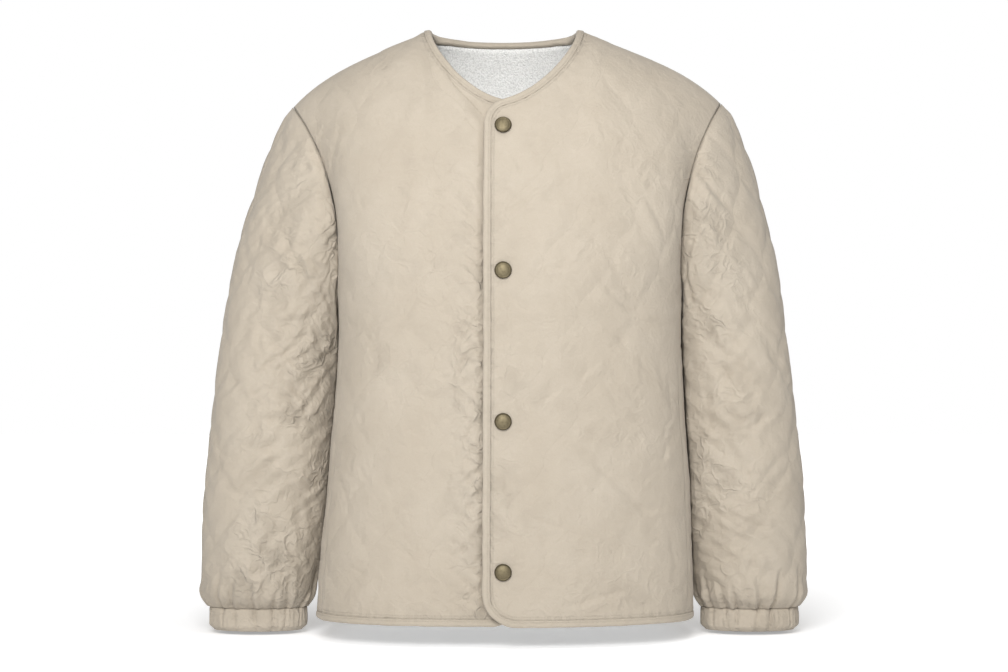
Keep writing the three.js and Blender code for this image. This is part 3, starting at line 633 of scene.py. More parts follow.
def shell_faces(rows, columns, closed, flip):
    """Faces of a closed shell: a fine outer skin, an inner skin on every second point of it, and
    the strips that join them. Outer points come first."""
    outer = lambda j, i: j * columns + i % columns
    inner_columns = columns // 2 if closed else columns // 2 + 1
    inner = lambda j, i: rows * columns + j * inner_columns + i % inner_columns
    faces = []
    wide = columns if closed else columns - 1
    for j in range(rows - 1):
        for i in range(wide):
            faces.append((outer(j, i), outer(j, i + 1), outer(j + 1, i + 1), outer(j + 1, i)))
    skin = len(faces)
    for j in range(rows // 2):
        for i in range(wide // 2):
            faces.append((inner(j, i), inner(j + 1, i), inner(j + 1, i + 1), inner(j, i + 1)))

    def strip(fine, coarse, count, turn):
        for k in range(count):
            a, b, c = fine(2 * k), fine(2 * k + 1), fine(2 * k + 2)
            d, e = coarse(k), coarse(k + 1)
            for face in ((a, d, b), (b, d, e), (b, e, c)):
                faces.append(face[::-1] if turn else face)

    last, low = rows - 1, rows // 2
    strip(lambda k: outer(0, k), lambda k: inner(0, k), wide // 2, False)
    strip(lambda k: outer(last, k), lambda k: inner(low, k), wide // 2, True)
    if not closed:
        strip(lambda k: outer(k, 0), lambda k: inner(k, 0), low, True)
        strip(lambda k: outer(k, columns - 1), lambda k: inner(k, inner_columns - 1), low, False)
    return [f[::-1] for f in faces] if flip else faces, skin


def shell(name, grid, normals, height, thick, uv, values, materials, inner_slot=0, closed=False):
    """A cloth shell over a grid, with its relief on the outer skin."""
    rows, columns = grid.shape[:2]
    assert rows % 2 == 1 and columns % 2 == (0 if closed else 1), (name, rows, columns)
    outer = grid + normals * height[..., None]
    inner = (grid - normals * thick)[::2, ::2]
    points = np.concatenate([outer.reshape(-1, 3), inner.reshape(-1, 3)])
    both = lambda v: np.concatenate([v.reshape(rows * columns, -1), v[::2, ::2].reshape(-1, v.shape[2])])
    middle = (rows // 2, columns // 2)
    across = grid[middle[0], middle[1] + 1] - grid[middle]
    down = grid[middle[0] + 1, middle[1]] - grid[middle]
    flip = np.dot(np.cross(across, down), normals[middle]) < 0
    faces, skin = shell_faces(rows, columns, closed, flip)
    slots = [0] * skin + [inner_slot] * (len(faces) - skin)
    values = {k: both(v[..., None])[:, 0] for k, v in values.items()}
    return add_object(name, points, faces, both(uv), values, materials, slots)


def near_line(points, line):
    """Distance of points from a line, and how far along it the nearest place is."""
    flat = points.reshape(-1, 3)
    run = run_of(line)
    count = max(int(run[-1] / 4), 2)
    at = np.linspace(0, run[-1], count)
    posts = along(line, at / run[-1])
    best, where = np.empty(len(flat)), np.empty(len(flat))
    for k in range(0, len(flat), 4000):
        part = flat[k : k + 4000]
        i = np.argmin(((part[:, None] - posts[None]) ** 2).sum(-1), 1)
        found, place = np.full(len(part), 1e9), np.zeros(len(part))
        for a in (np.maximum(i - 1, 0), np.minimum(i, count - 2)):
            d = posts[a + 1] - posts[a]
            t = np.clip(((part - posts[a]) * d).sum(1) / (d * d).sum(1), 0, 1)
            away = np.linalg.norm(part - posts[a] - t[:, None] * d, axis=1)
            nearer = away < found
            found, place = np.where(nearer, away, found), np.where(nearer, mix(at[a], at[a + 1], t), place)
        best[k : k + 4000], where[k : k + 4000] = found, place
    shape = points.shape[:-1]
    return best.reshape(shape), where.reshape(shape)


# ---- materials ----


class Graph:
    """The nodes of a material or a world, added one call at a time."""

    def __init__(self, owner):
        """owner is a material, or a world."""
        self.owner = owner
        owner.use_nodes = True
        self.tree = owner.node_tree
        self.tree.nodes.clear()

    def add(self, kind, out=0, settings=None, **inputs):
        node = self.tree.nodes.new("ShaderNode" + kind)
        for key, value in (settings or {}).items():
            setattr(node, key, value)
        for key, value in inputs.items():
            key = key.replace("_", " ")
            socket = node.inputs[int(key[1:])] if key[1:].isdigit() else node.inputs[key]
            if isinstance(value, bpy.types.NodeSocket):
                self.tree.links.new(value, socket)
            else:
                socket.default_value = value
        return node.outputs[out] if len(node.outputs) else None

    def value(self, name):
        return self.add("Attribute", out=2, settings={"attribute_name": name})

    def math(self, operation, a, b=0.0, c=0.0):
        return self.add("Math", settings={"operation": operation}, i0=a, i1=b, i2=c)

    def times(self, a, b):
        return self.math("MULTIPLY", a, b)

    def most(self, a, b):
        return self.math("MAXIMUM", a, b)

    def noise(self, vector, scale, detail=2.0, roughness=0.5):
        return self.add("TexNoise", Vector=vector, Scale=scale, Detail=detail, Roughness=roughness)

    def warped(self, place, scale, detail, size):
        """Places moved about by as much as size, in metres."""
        off = self.add("TexNoise", out=1, Vector=place, Scale=scale, Detail=detail)
        size = (size, size, size)
        return self.add("VectorMath", settings={"operation": "MULTIPLY_ADD"}, i0=off, i1=size, i2=place)

    def remap(self, value, low, high, to_low, to_high):
        return self.add("MapRange", Value=value, From_Min=low, From_Max=high, To_Min=to_low, To_Max=to_high)

    def blend(self, a, b, factor):
        """Colour a going to colour b."""
        return self.add("Mix", out=2, settings={"data_type": "RGBA"}, i0=factor, i6=a, i7=b)

    def bump(self, height, distance, strength=1.0, normal=None):
        inputs = {"Height": height, "Distance": distance, "Strength": strength}
        if normal is not None:
            inputs["Normal"] = normal
        return self.add("Bump", **inputs)

    def finish(self, **inputs):
        shader = self.add("BsdfPrincipled", **inputs)
        self.add("OutputMaterial", Surface=shader)
        return self.owner


def near(graph, value, at, wide):
    """1 where a value is close to at, falling to 0 by wide away."""
    off = graph.math("ABSOLUTE", graph.math("SUBTRACT", value, at))
    return graph.remap(off, 0.0, wide, 1.0, 0.0)


def cloth(name, light, dark, rows=(), quilted=False):
    """Woven cotton. rows are the distances of its stitch rows from the bound edge, in mm."""
    g = Graph(bpy.data.materials.new(name))
    place = g.add("TexCoord", out=3)
    uv = g.add("UVMap", settings={"uv_map": "cloth"})
    u = g.add("SeparateXYZ", Vector=uv)
    v = u.node.outputs[1]
    # Weave: warp and weft ribs about half a millimetre apart, with uneven yarns.
    yarn = g.noise(uv, 900.0, 2.0)
    warp = g.math("SINE", g.math("MULTIPLY_ADD", u, 11500.0, g.times(yarn, 3.0)))
    weft = g.math("SINE", g.math("MULTIPLY_ADD", v, 10300.0, g.times(yarn, 3.0)))
    weave = g.times(warp, weft)
    tone = g.noise(place, 14.0, 4.0, 0.6)
    fleck = g.noise(place, 700.0, 3.0, 0.65)
    colour = g.blend(light, dark, g.remap(tone, 0.35, 0.68, 0.0, 0.55))
    colour = g.blend(colour, dark, g.remap(fleck, 0.45, 0.75, 0.0, 0.3))
    colour = g.blend(colour, dark, g.remap(weave, -1.0, 1.0, 0.1, 0.0))
    fine = g.noise(place, 190.0, 5.0, 0.6)
    pucker = g.noise(place, 60.0, 4.0, 0.55)
    # Small sharp folds, where the cloth is creased: thin crests along the middle of a warped noise, and
    # painted shade in the valleys beside them.
    creased = g.value("crease")
    warped = g.warped(place, 30.0, 3.0, 0.03)
    broad, tight = g.noise(warped, 34.0, 1.5), g.noise(warped, 62.0, 1.5)
    crests = g.most(near(g, broad, 0.5, 0.07), g.times(near(g, tight, 0.5, 0.09), 0.6))
    crests = g.times(crests, creased)
    painted_crease_shade = g.times(g.remap(broad, 0.52, 0.66, 0.0, 0.4), creased)
    edge, run = g.value("edge"), g.value("run")
    dash = g.remap(g.math("SINE", g.times(run, 2.05)), -0.5, 0.2, 0.0, 1.0)
    thread = 0.0
    # groove marks the seam, stitch-row, quilting and pocket grooves: sunk in the bump, and darkened in colour
    # as painted shade.
    groove = g.remap(g.value("seam"), 0.0, 2.2, 1.0, 0.0)
    for at in rows:
        line = near(g, edge, at, 1.1)
        groove = g.most(groove, g.times(line, 0.5))
        thread = g.most(thread, g.times(near(g, edge, at, 0.45), dash))
    if quilted:
        line = near(g, g.value("quilt"), 0.0, 0.9)
        groove = g.most(groove, g.times(line, 0.3))
        pocket = near(g, g.value("pocket"), 0.0, 1.2)
        groove = g.most(groove, g.times(pocket, 0.8))
    # Painted shade: the colour darkens along the seam, stitch-row, quilting and pocket grooves, and in the
    # valleys of the creases.
    shade = tuple(0.62 * c for c in dark[:3]) + (1,)
    colour = g.blend(colour, shade, g.times(groove, 0.42))
    colour = g.blend(colour, shade, painted_crease_shade)
    if rows:
        colour = g.blend(colour, light, g.times(thread, 0.6))
    # Rubbed, paler cloth along the bound edge.
    worn = g.times(g.remap(edge, 1.0, 14.0, 0.35, 0.0), g.remap(fine, 0.4, 0.7, 0.0, 1.0))
    pale = tuple(min(1.0, 1.12 * c) for c in light[:3]) + (1,)
    colour = g.blend(colour, pale, worn)
    normal = g.bump(crests, 0.0016)
    normal = g.bump(pucker, 0.0016, normal=normal)
    normal = g.bump(fine, 0.00045, normal=normal)
    normal = g.bump(weave, 0.00004, normal=normal)
    normal = g.bump(g.math("SUBTRACT", g.times(thread, 0.6), groove), 0.0006, normal=normal)
    return g.finish(
        Base_Color=colour,
        Roughness=g.remap(fleck, 0.3, 0.7, 0.74, 0.9),
        Normal=normal,
        Sheen_Weight=0.12,
        Sheen_Roughness=0.45,
        Specular_IOR_Level=0.28,
    )


def fleece_material():
    g = Graph(bpy.data.materials.new("fleece"))
    place = g.add("TexCoord", out=3)
    warped = g.warped(place, 260.0, 2.0, 0.0024)
    curl = g.add(
        "TexVoronoi", settings={"feature": "SMOOTH_F1"}, Vector=warped, Scale=560.0, Smoothness=0.35
    )
    hair = g.noise(warped, 1300.0, 4.0, 0.7)
    tuft = g.noise(place, 90.0, 3.0, 0.6)
    # Painted shade: the pile's colour darkens in the crevices between the curls.
    colour = g.blend((1.0, 1.0, 0.985, 1), (0.72, 0.72, 0.705, 1), g.remap(curl, 0.35, 0.8, 0.0, 0.7))
    colour = g.blend(colour, (0.84, 0.84, 0.82, 1), g.remap(hair, 0.5, 0.8, 0.0, 0.3))
    normal = g.bump(tuft, 0.0003)
    normal = g.bump(g.times(curl, -1.0), 0.0006, normal=normal)
    normal = g.bump(hair, 0.00016, normal=normal)
    return g.finish(
        Base_Color=colour,
        Roughness=g.remap(hair, 0.3, 0.7, 0.9, 1.0),
        Normal=normal,
        Sheen_Weight=0.35,
        Sheen_Roughness=0.6,
        Specular_IOR_Level=0.1,
    )


def brass_material():
    g = Graph(bpy.data.materials.new("antique_brass"))
    place = g.add("TexCoord", out=3)
    rim = g.value("rim")
    patina = g.noise(place, 420.0, 5.0, 0.65)
    scratch = g.noise(place, 1600.0, 2.0, 0.5)
    dark = g.most(g.remap(rim, 0.7, 0.93, 0.0, 0.85), g.remap(patina, 0.52, 0.8, 0.0, 0.5))
    colour = g.blend((0.19, 0.16, 0.1, 1), (0.05, 0.04, 0.025, 1), dark)
    normal = g.bump(scratch, 0.00006)
    return g.finish(
        Base_Color=colour,
        Roughness=g.remap(patina, 0.3, 0.75, 0.48, 0.68),
        Normal=normal,
        Metallic=0.95,
    )


COTTON = cloth("quilted_cotton", (0.45, 0.398, 0.328, 1), (0.39, 0.338, 0.27, 1), (8.8, 11.2), quilted=True)
TAPE = cloth("binding_cotton", (0.44, 0.389, 0.32, 1), (0.382, 0.332, 0.265, 1), (5.4,))
# The cuffs' cotton is the body's cotton painted a little lighter, standing in for more light falling on the
# cuffs.
CUFF_COTTON_PAINTED_LIGHTER = cloth("cuff_cotton", (0.47, 0.415, 0.342, 1), (0.405, 0.352, 0.282, 1))
FLEECE = fleece_material()
BRASS = brass_material()

# ---- body panels ----


def bound_line(side, face):
    """The finished bound edges of one side of the front or back."""
    c, u = np.linspace(0, 1, 40), np.linspace(0, 2, 160)
    neck = body_point(c, 2.0, side, face, 0.0)
    hem = body_point(np.linspace(0, 2, 90), 0.0, side, face, 0.0)
    if face == "back":
        return [neck, hem]
    return [np.concatenate([neck[::-1], body_point(0.0, u, side, face, 0.0)[::-1], hem])]


def spread(count, dense):
    """Numbers from 0 to 1, closer together around dense."""
    t = np.linspace(0, 1, 401)
    run = np.cumsum(1 - 0.6 * bell((t - dense) / 0.1))
    return np.interp(np.linspace(run[0], run[-1], count), run, t)


def panel_side(side, face, columns, rows, dense):
    """Grid and figures of one side of a front or back, on the wearer's left."""
    c = np.concatenate([spread(columns[0], dense), np.linspace(1, 2, columns[1])[1:]])
    u = np.concatenate([np.linspace(0, 1, rows[0]), np.linspace(1, 2, rows[1])[1:]])
    column, up = np.meshgrid(c, u)
    grid = body_point(column, up, side, face, PANEL_INSET)
    # Above the chest the columns under the neck and under the shoulder meet without a ridge.
    loose = bell((column - 1) / 0.2) * smooth(1, 1.15, up) * (1 - smooth(1.9, 2, up))
    loose[:, [0, -1]] = 0
    for _ in range(120):
        grid += 0.5 * loose[..., None] * (0.5 * (np.roll(grid, 1, 1) + np.roll(grid, -1, 1)) - grid)
    seam = ((column == 2) & (up <= 1)) | ((up == 2) & (column >= 1))
    grid[..., 1] += np.where(seam, -0.12 if face == "front" else 0.12, 0)
    return grid, column, up


def lap_puckers(past, z):
    """The under front beside the lapping edge: it swells up to that edge, in puckers that run
    down and away from it. past is the distance from the edge."""
    swell = 4.6 * smooth(0.4, 5, past) * (1 - smooth(9, 46, past))
    strong = mix(1.6, 4.8, smooth(-230, -370, z))
    turn = (z - 0.75 * past) / 2.9 + 2.6 * noise(z / 31, past * 0, 91)
    sharp = 1 - 2 * np.abs(np.sin(turn / 2)) ** 0.8
    uneven = 0.55 + 0.45 * noise(z / 24, past / 60, 92)
    return swell - strong * uneven * sharp * smooth(0, 3, past) * np.exp(-np.maximum(past, 0) / 17)


# Straight folds: direction in radians, spacing, height.
PANEL_FOLDS = [(0.9, 47, 1.0), (-0.8, 53, 0.95), (0.25, 61, 0.8), (1.4, 71, 0.7)]
SLEEVE_FOLDS = [(0.75, 41, 3.6), (-0.85, 45, 3.3), (0.2, 53, 2.2)]
SLEEVE_FOLDS += [(1.25, 48, 2.6), (0.5, 27, 1.6), (-0.6, 30, 1.6)]

# The under front's binding widens into a band where the fronts cross: its lower line, at (x, z).
UNDER_BAND = spline([(-65, 0, -50), (-60, 0, -62), (-49, 0, -76), (-36, 0, -90), (-20, 0, -108)], 12)


def panel_parts(name, side, face, columns, rows, dense):
    """One side's grid, its normals and each point's distances, on the side where it is worn."""
    grid, column, up = panel_side(side, face, columns, rows, dense)
    found = [near_line(grid, line) for line in bound_line(side, face)]
    nearest = np.argmin([f[0] for f in found], 0)
    seams = [
        body_point(2.0, np.linspace(0, 1, 60), side, face, PANEL_INSET),
        along(ARMHOLES[side, face], np.linspace(0, 1, 60)),
        body_point(np.linspace(1, 2, 40), 2.0, side, face, PANEL_INSET),
    ]
    pocket = np.full(column.shape, FAR)
    if face == "front":
        line = body_point(np.full(60, 1.74), np.linspace(0.03, 0.78, 60), side, face, PANEL_INSET)
        pocket = near_line(grid, line)[0]
    if name == "front_right":
        pocket = np.minimum(pocket, near_line(grid * np.array([-1, 0, 1]), UNDER_BAND)[0])
    calm = (1 - smooth(1.15, 1.5, column)) * smooth(1, 1.06, up)
    normals = unit(mix(grid_normals(grid, outward(grid)), arch_normal(grid, side, face), calm[..., None]))
    return {
        "grid": grid * MIRROR[side],
        "normals": normals * MIRROR[side],
        "across": column_share(column, "back", 0) * BODY_ROUND * SIGN[side],
        "edge": np.min([f[0] for f in found], 0),
        "run": np.choose(nearest, [f[1] for f in found]),
        "seam": np.min([near_line(grid, line)[0] for line in seams], 0),
        "pocket": pocket,
    }


def panel(name, sides, face, columns, rows, seed, dense=-1.0):
    """A front, or the whole back from two sides."""
    whole, *rest = [panel_parts(name, side, face, columns, rows, dense) for side in sides]
    for other in rest:
        whole = {k: np.concatenate([whole[k][:, :0:-1], other[k]], 1) for k in whole}
    grid, normals, across, edge, run, seam, pocket = whole.values()
    x, z = grid[..., 0], grid[..., 2]
    if face == "back":
        middle = grid.shape[1] // 2
        normals[:, middle, 0] = 0
        normals[:, middle] = unit(normals[:, middle])
    inside = edge - PANEL_INSET
    quilt = quilt_distance(across, z)
    soft = smooth(2, 16, np.minimum(inside, seam))
    patchy = 0.55 + 0.45 * noise(x / 90, z / 80, seed + 5)
    relief = 1.1 * patchy * (smooth(0, 17, quilt) - 0.55 - 0.35 * bell(quilt / 3.2))
    relief += 0.6 * crumple(x, z, seed)
    relief += folds(x, z, seed + 20, PANEL_FOLDS)
    relief += 1.3 * noise(x / 75 + 9, z / 62, seed + 2)
    relief += crease_height(x, z, CREASES[name])
    box = (x.min(), x.max(), -640, -120)
    small = scattered(seed, 46, box, 26, 1.15, 2.2, 0.9) + scattered(seed + 1, 34, box, 34, 1.0, 2.4, -0.7)
    relief += crease_height(x, z, small)
    snap = np.full(z.shape, FAR)
    if face == "front":
        for level in SNAP_LEVELS:
            snap = np.minimum(snap, np.hypot(x - SNAP_X, z - level))
    height = relief * soft * smooth(9, 22, snap)
    past = -LAP_EDGE - x
    if name == "front_right":
        height += lap_puckers(past, z) * smooth(0, 14, np.minimum(inside, pocket))
    # Seams and stitch rows pull the cloth in, more at some places than at others.
    pull = np.sin(run / 2.1 + 2.2 * noise(run / 13, run * 0, seed + 7))
    height += bell((inside - 2) / 6) * (0.6 * pull + 0.25)
    height -= 0.9 * bell(pocket / 2.6)
    height -= 0.5 * bell(seam / 2.4)
    height = np.minimum(height, 0.9 * np.maximum(np.minimum(inside, seam) - 1.0, 0))
    # crease sets how strongly the cloth is creased: sharp crests in the bump and painted shade in their
    # valleys, more near the seams, the bound edges and the lapping edge.
    patch = smooth(-0.1, 0.7, noise(x / 46 + 5, z / 41, seed + 9))
    crease = 0.12 + 0.2 * patch + 0.25 * np.exp(-seam / 16) * (z < -120)
    crease += 0.3 * np.exp(-inside / 14) * (z < -200)
    if name == "front_right":
        crease += 1.1 * np.exp(-np.maximum(past, 0) / 20) * smooth(-180, -330, z)
    uv = np.stack([across / 1000, z / 1000], -1)
    # edge, seam, quilt and pocket also place the grooves that the material sinks and darkens with painted
    # shade.
    values = {"edge": edge, "run": run, "seam": seam, "quilt": quilt, "pocket": pocket, "crease": crease}
    inner_slot = 1 if face == "front" else 0
    obj = shell(name + "_cloth", grid, normals, height, WALL[face], uv, values, [COTTON, FLEECE], inner_slot)
    return dress(obj, name), grid, normals


front_left, _, _ = panel("front_left", ["left"], "front", (59, 75), (161, 131), 11, 0.05)
front_right, _, _ = panel("front_right", ["right"], "front", (65, 75), (161, 131), 23, 0.33)
back, back_grid, back_normals = panel("back", ["right", "left"], "back", (46, 64), (141, 113), 37)


def lining():
    """The fleece inside the back, its pile standing in curls."""
    grid, normals = back_grid[::2, ::2].copy(), back_normals[::2, ::2]
    rows, columns = grid.shape[:2]
    # At the neck it runs on up under the binding.
    top, below = (-1, -2) if grid[-1, columns // 2, 2] > grid[0, columns // 2, 2] else (0, 1)
    lift = 4.2 * (1 - smooth(60, 78, np.abs(grid[top, :, 0])))
    grid[top] += unit(grid[top] - grid[below]) * lift[:, None]
    x, z = grid[..., 0], grid[..., 2]
    pile = 0.35 * noise(x / 14, z / 12, 71)
    ends = np.minimum(np.arange(rows), np.arange(rows)[::-1])[:, None]
    sides = np.minimum(np.arange(columns), np.arange(columns)[::-1])[None]
    pile = pile * smooth(0, 2, np.minimum(ends, sides))
    near_side = WALL["back"] + LINING_GAP
    # The shell's fine skin is the side that shows, so its normals are turned inward.
    uv = np.stack([x / 1000, z / 1000], -1)
    obj = shell(
        "back_fleece", grid - normals * (near_side + WALL["lining"]), -normals, pile, WALL["lining"],
        uv, {}, [FLEECE],
    )
    return dress(obj, "lining_back")


fleece = lining()

# ---- bindings ----

# Half of a bound edge's section, seen from the finished edge: share of the way in, and height
# above the panel.
TAPE_SECTION = [
    (1.0, 0.22), (1.16, 0.24), (1.13, 0.5), (0.95, 0.75), (0.65, 1.0), (0.36, 1.0), (0.13, 0.55), (0.0, -0.6),
]


def binding(name, stations, thick, seed, inner_share=1.0):
    """Tape folded over an edge. stations are lists of (column, up, side, face). inner_share is
    the width inside the garment as a share of that outside."""
    lines = {0.0: [], BINDING: []}
    normals = []
    for column, up, side, face in stations:
        for inset in lines:
            lines[inset].append(body_point(column, up, side, face, inset) * MIRROR[side])
        n = body_normal(column, up, side, face, BINDING / 2)
        at_neck = (up == 2) & (column <= 1)
        turn = np.where(at_neck, smooth(0.6, 0.97, column), 0)[:, None]
        normals.append(unit(mix(n, SHOULDER_NORMAL, turn)) * MIRROR[side])
    outer, inner, n = (np.concatenate(v) for v in (lines[0.0], lines[BINDING], normals))
    keep = np.concatenate([[True], np.linalg.norm(np.diff(outer, axis=0), axis=1) > 0.2])
    outer, inner, n = outer[keep], inner[keep], n[keep]
    run = run_of(outer)
    count = int(run[-1] / 1.6)
    at = np.linspace(0, run[-1], count)
    at_run = lambda v: np.stack([np.interp(at, run, v[:, k]) for k in range(3)], -1)
    outer, inner, n = at_run(outer), at_run(inner), at_run(n)
    for _ in range(6):
        n[1:-1] = (n[:-2] + 2 * n[1:-1] + n[2:]) / 4
    n = unit(n)
    none = at * 0
    wave = np.sin(at / 1.9 + 2.4 * noise(at / 21, none, seed)) * (0.5 + 0.5 * noise(at / 34, none + 3, seed))
    swell = 1 + 0.3 * wave + 0.2 * noise(at / 11, none + 5, seed)
    section = TAPE_SECTION + [(s * inner_share, -thick - h) for s, h in TAPE_SECTION[::-1]]
    rings = []
    for share, high in section:
        bulge = np.where(high > 0, high * swell, high)
        below = -thick - (-thick - high) * swell
        level = np.where(high < -thick, below, bulge)
        wander = 0.05 * noise(at / 14, none + 9, seed) * (1 - min(share, 1.0))
        rings.append(outer + (inner - outer) * (share + wander)[:, None] + n * level[:, None])
    grid = np.stack(rings, 1)
    size = len(section)
    faces = ring_faces(count, size)
    faces += [tuple(range(size))[::-1], tuple((count - 1) * size + i for i in range(size))]
    j = count // 2
    cross = np.cross(grid[j, 5] - grid[j, 4], grid[j + 1, 4] - grid[j, 4])
    if np.dot(cross, grid[j, 4] - grid[j].mean(0)) < 0:
        faces = [f[::-1] for f in faces]
    edge = np.array([s * BINDING for s, _ in section])
    edge[len(TAPE_SECTION):] += BINDING * (1 - inner_share) * 0.2
    around = np.linspace(0, 0.03, size)
    uv = np.stack(np.broadcast_arrays(around[None], at[:, None] / 1000), -1)
    flat = lambda v: np.broadcast_to(v, (count, size)).ravel()
    values = {"edge": flat(edge[None]), "run": flat(at[:, None]), "seam": np.full(count * size, FAR)}
    obj = add_object(name + "_tape", grid.reshape(-1, 3), faces, uv.reshape(-1, 2), values, [TAPE])
    return dress(obj, name), run[-1]


tapes = {}
for side, seed in (("left", 41), ("right", 43)):
    c1, c2, u = np.linspace(1, 0, 80), np.linspace(0, 2, 220), np.linspace(2, 0, 320)
    tapes[side] = binding(
        f"binding_front_{side}",
        [(c1, c1 * 0 + 2, side, "front"), (u * 0, u, side, "front"), (c2, c2 * 0, side, "front")],
        WALL["front"],
        seed,
    )
BACK_WALL = WALL["back"] + LINING_GAP + WALL["lining"]
c1, c2 = np.linspace(0, 1, 60), np.linspace(0, 2, 200)
tapes["neck"] = binding(
    "binding_neck_back",
    [(c1[::-1], c1 * 0 + 2, "right", "back"), (c1, c1 * 0 + 2, "left", "back")],
    BACK_WALL,
    47,
    0.6,
)
tapes["hem"] = binding(
    "binding_hem_back",
    [(c2[::-1], c2 * 0, "right", "back"), (c2, c2 * 0, "left", "back")],
    BACK_WALL,
    53,
)

# ---- sleeves and cuffs ----


def sleeve_ring(turn, z):
    half = read(SLEEVE_Z, SLEEVE_WIDTH, z) / 2
    centre = read(SLEEVE_Z, SLEEVE_OUT, z) - half
    centre = mix(centre, CUFF_CENTRE, smooth(600, -CUFF_TOP, -z) ** 4)
    angle = 2 * np.pi * turn
    return vec(centre + half * np.cos(angle), SLEEVE_Y - read(SLEEVE_Z, SLEEVE_DEPTH, z) * np.sin(angle), z)


def sleeve_grid(side, rows, around):
    """A sleeve's smooth surface from the armhole to the cuff, on the wearer's left."""
    turn = np.arange(around) / around
    low = (1 - np.cos(2 * np.pi * turn)) / 2
    in_front = (turn <= 0.5)[:, None]
    up = np.where(turn <= 0.5, 2 - 2 * turn, 2 * turn)
    at = lambda want, column: np.where(
        in_front,
        want(np.full(around, column), up, side, "front", PANEL_INSET),
        want(np.full(around, column), up, side, "back", PANEL_INSET),
    )
    start, within, n = at(body_point, 2.0), at(body_point, 1.9), at(body_normal, 1.94)
    n = unit(n + np.roll(n, 3, 0) + np.roll(n, -3, 0))
    t = np.roll(start, -2, 0) - np.roll(start, 2, 0)
    out = facing(unit(np.cross(n, t)), start - within)
    start = start + out * 0.4 + n * (0.3 * low)[:, None]
    end = sleeve_ring(turn, np.full(around, SLEEVE_TOP_Z))
    front = np.sin(2 * np.pi * turn)
    leave = unit(mix(out, vec(0.3, -0.5 * front, -0.9), mix(0.5, 1, smooth(0.1, 0.75, low))[:, None]))
    far = np.linalg.norm(end - start, axis=1)[:, None]
    leave = leave * mix(0.73, 1.1, low)[:, None]
    line = []
    for t in np.linspace(0, 1, 61):
        t2, t3 = t * t, t**3
        line.append(
            start * (2 * t3 - 3 * t2 + 1)
            + leave * far * (t3 - 2 * t2 + t)
            + end * (3 * t2 - 2 * t3)
            + np.array([0.12, 0, -1]) * 1.05 * far * (t3 - t2)
        )
    for z in np.linspace(SLEEVE_TOP_Z, CUFF_TOP, 61)[1:]:
        line.append(sleeve_ring(turn, np.full(around, z)))
    line = np.stack(line)
    run = np.cumsum(np.linalg.norm(np.diff(line, axis=0), axis=2), 0)
    run = np.concatenate([run[:1] * 0, run])
    clear = mix(0.3, SLEEVE_CLEAR, smooth(0, 45, run))
    # Behind the body's widest line the sleeve presses in round it.
    behind = smooth(0.42, 0.52, turn) * (1 - smooth(0.62, 0.75, turn))
    line[..., 0] -= 9 * behind * bell((line[..., 2] + 330) / 90)
    line[..., 0] = np.maximum(line[..., 0], body_reach(line[..., 1], line[..., 2], side) + clear)
    shares = np.linspace(0, 1, rows)
    grid = np.stack([along(line[:, i], shares) for i in range(around)], 1)
    return grid, n, low


def gathers(seed, tall):
    """Pinches where the sleeve is gathered into its cuff, running up from it."""
    rng = np.random.default_rng(seed)
    rows = []
    for k in range(PINCHES):
        at = (k + rng.uniform(-0.28, 0.28)) * SLEEVE_ROUND / PINCHES
        rise = tall * rng.uniform(0.45, 1)
        lean = rng.normal(0, 5)
        line = [(at, CUFF_TOP - 12), (at, CUFF_TOP + 4), (at + lean, CUFF_TOP + rise)]
        rows.append((line, rng.uniform(3.4, 5.2), 3.3))
    return rows


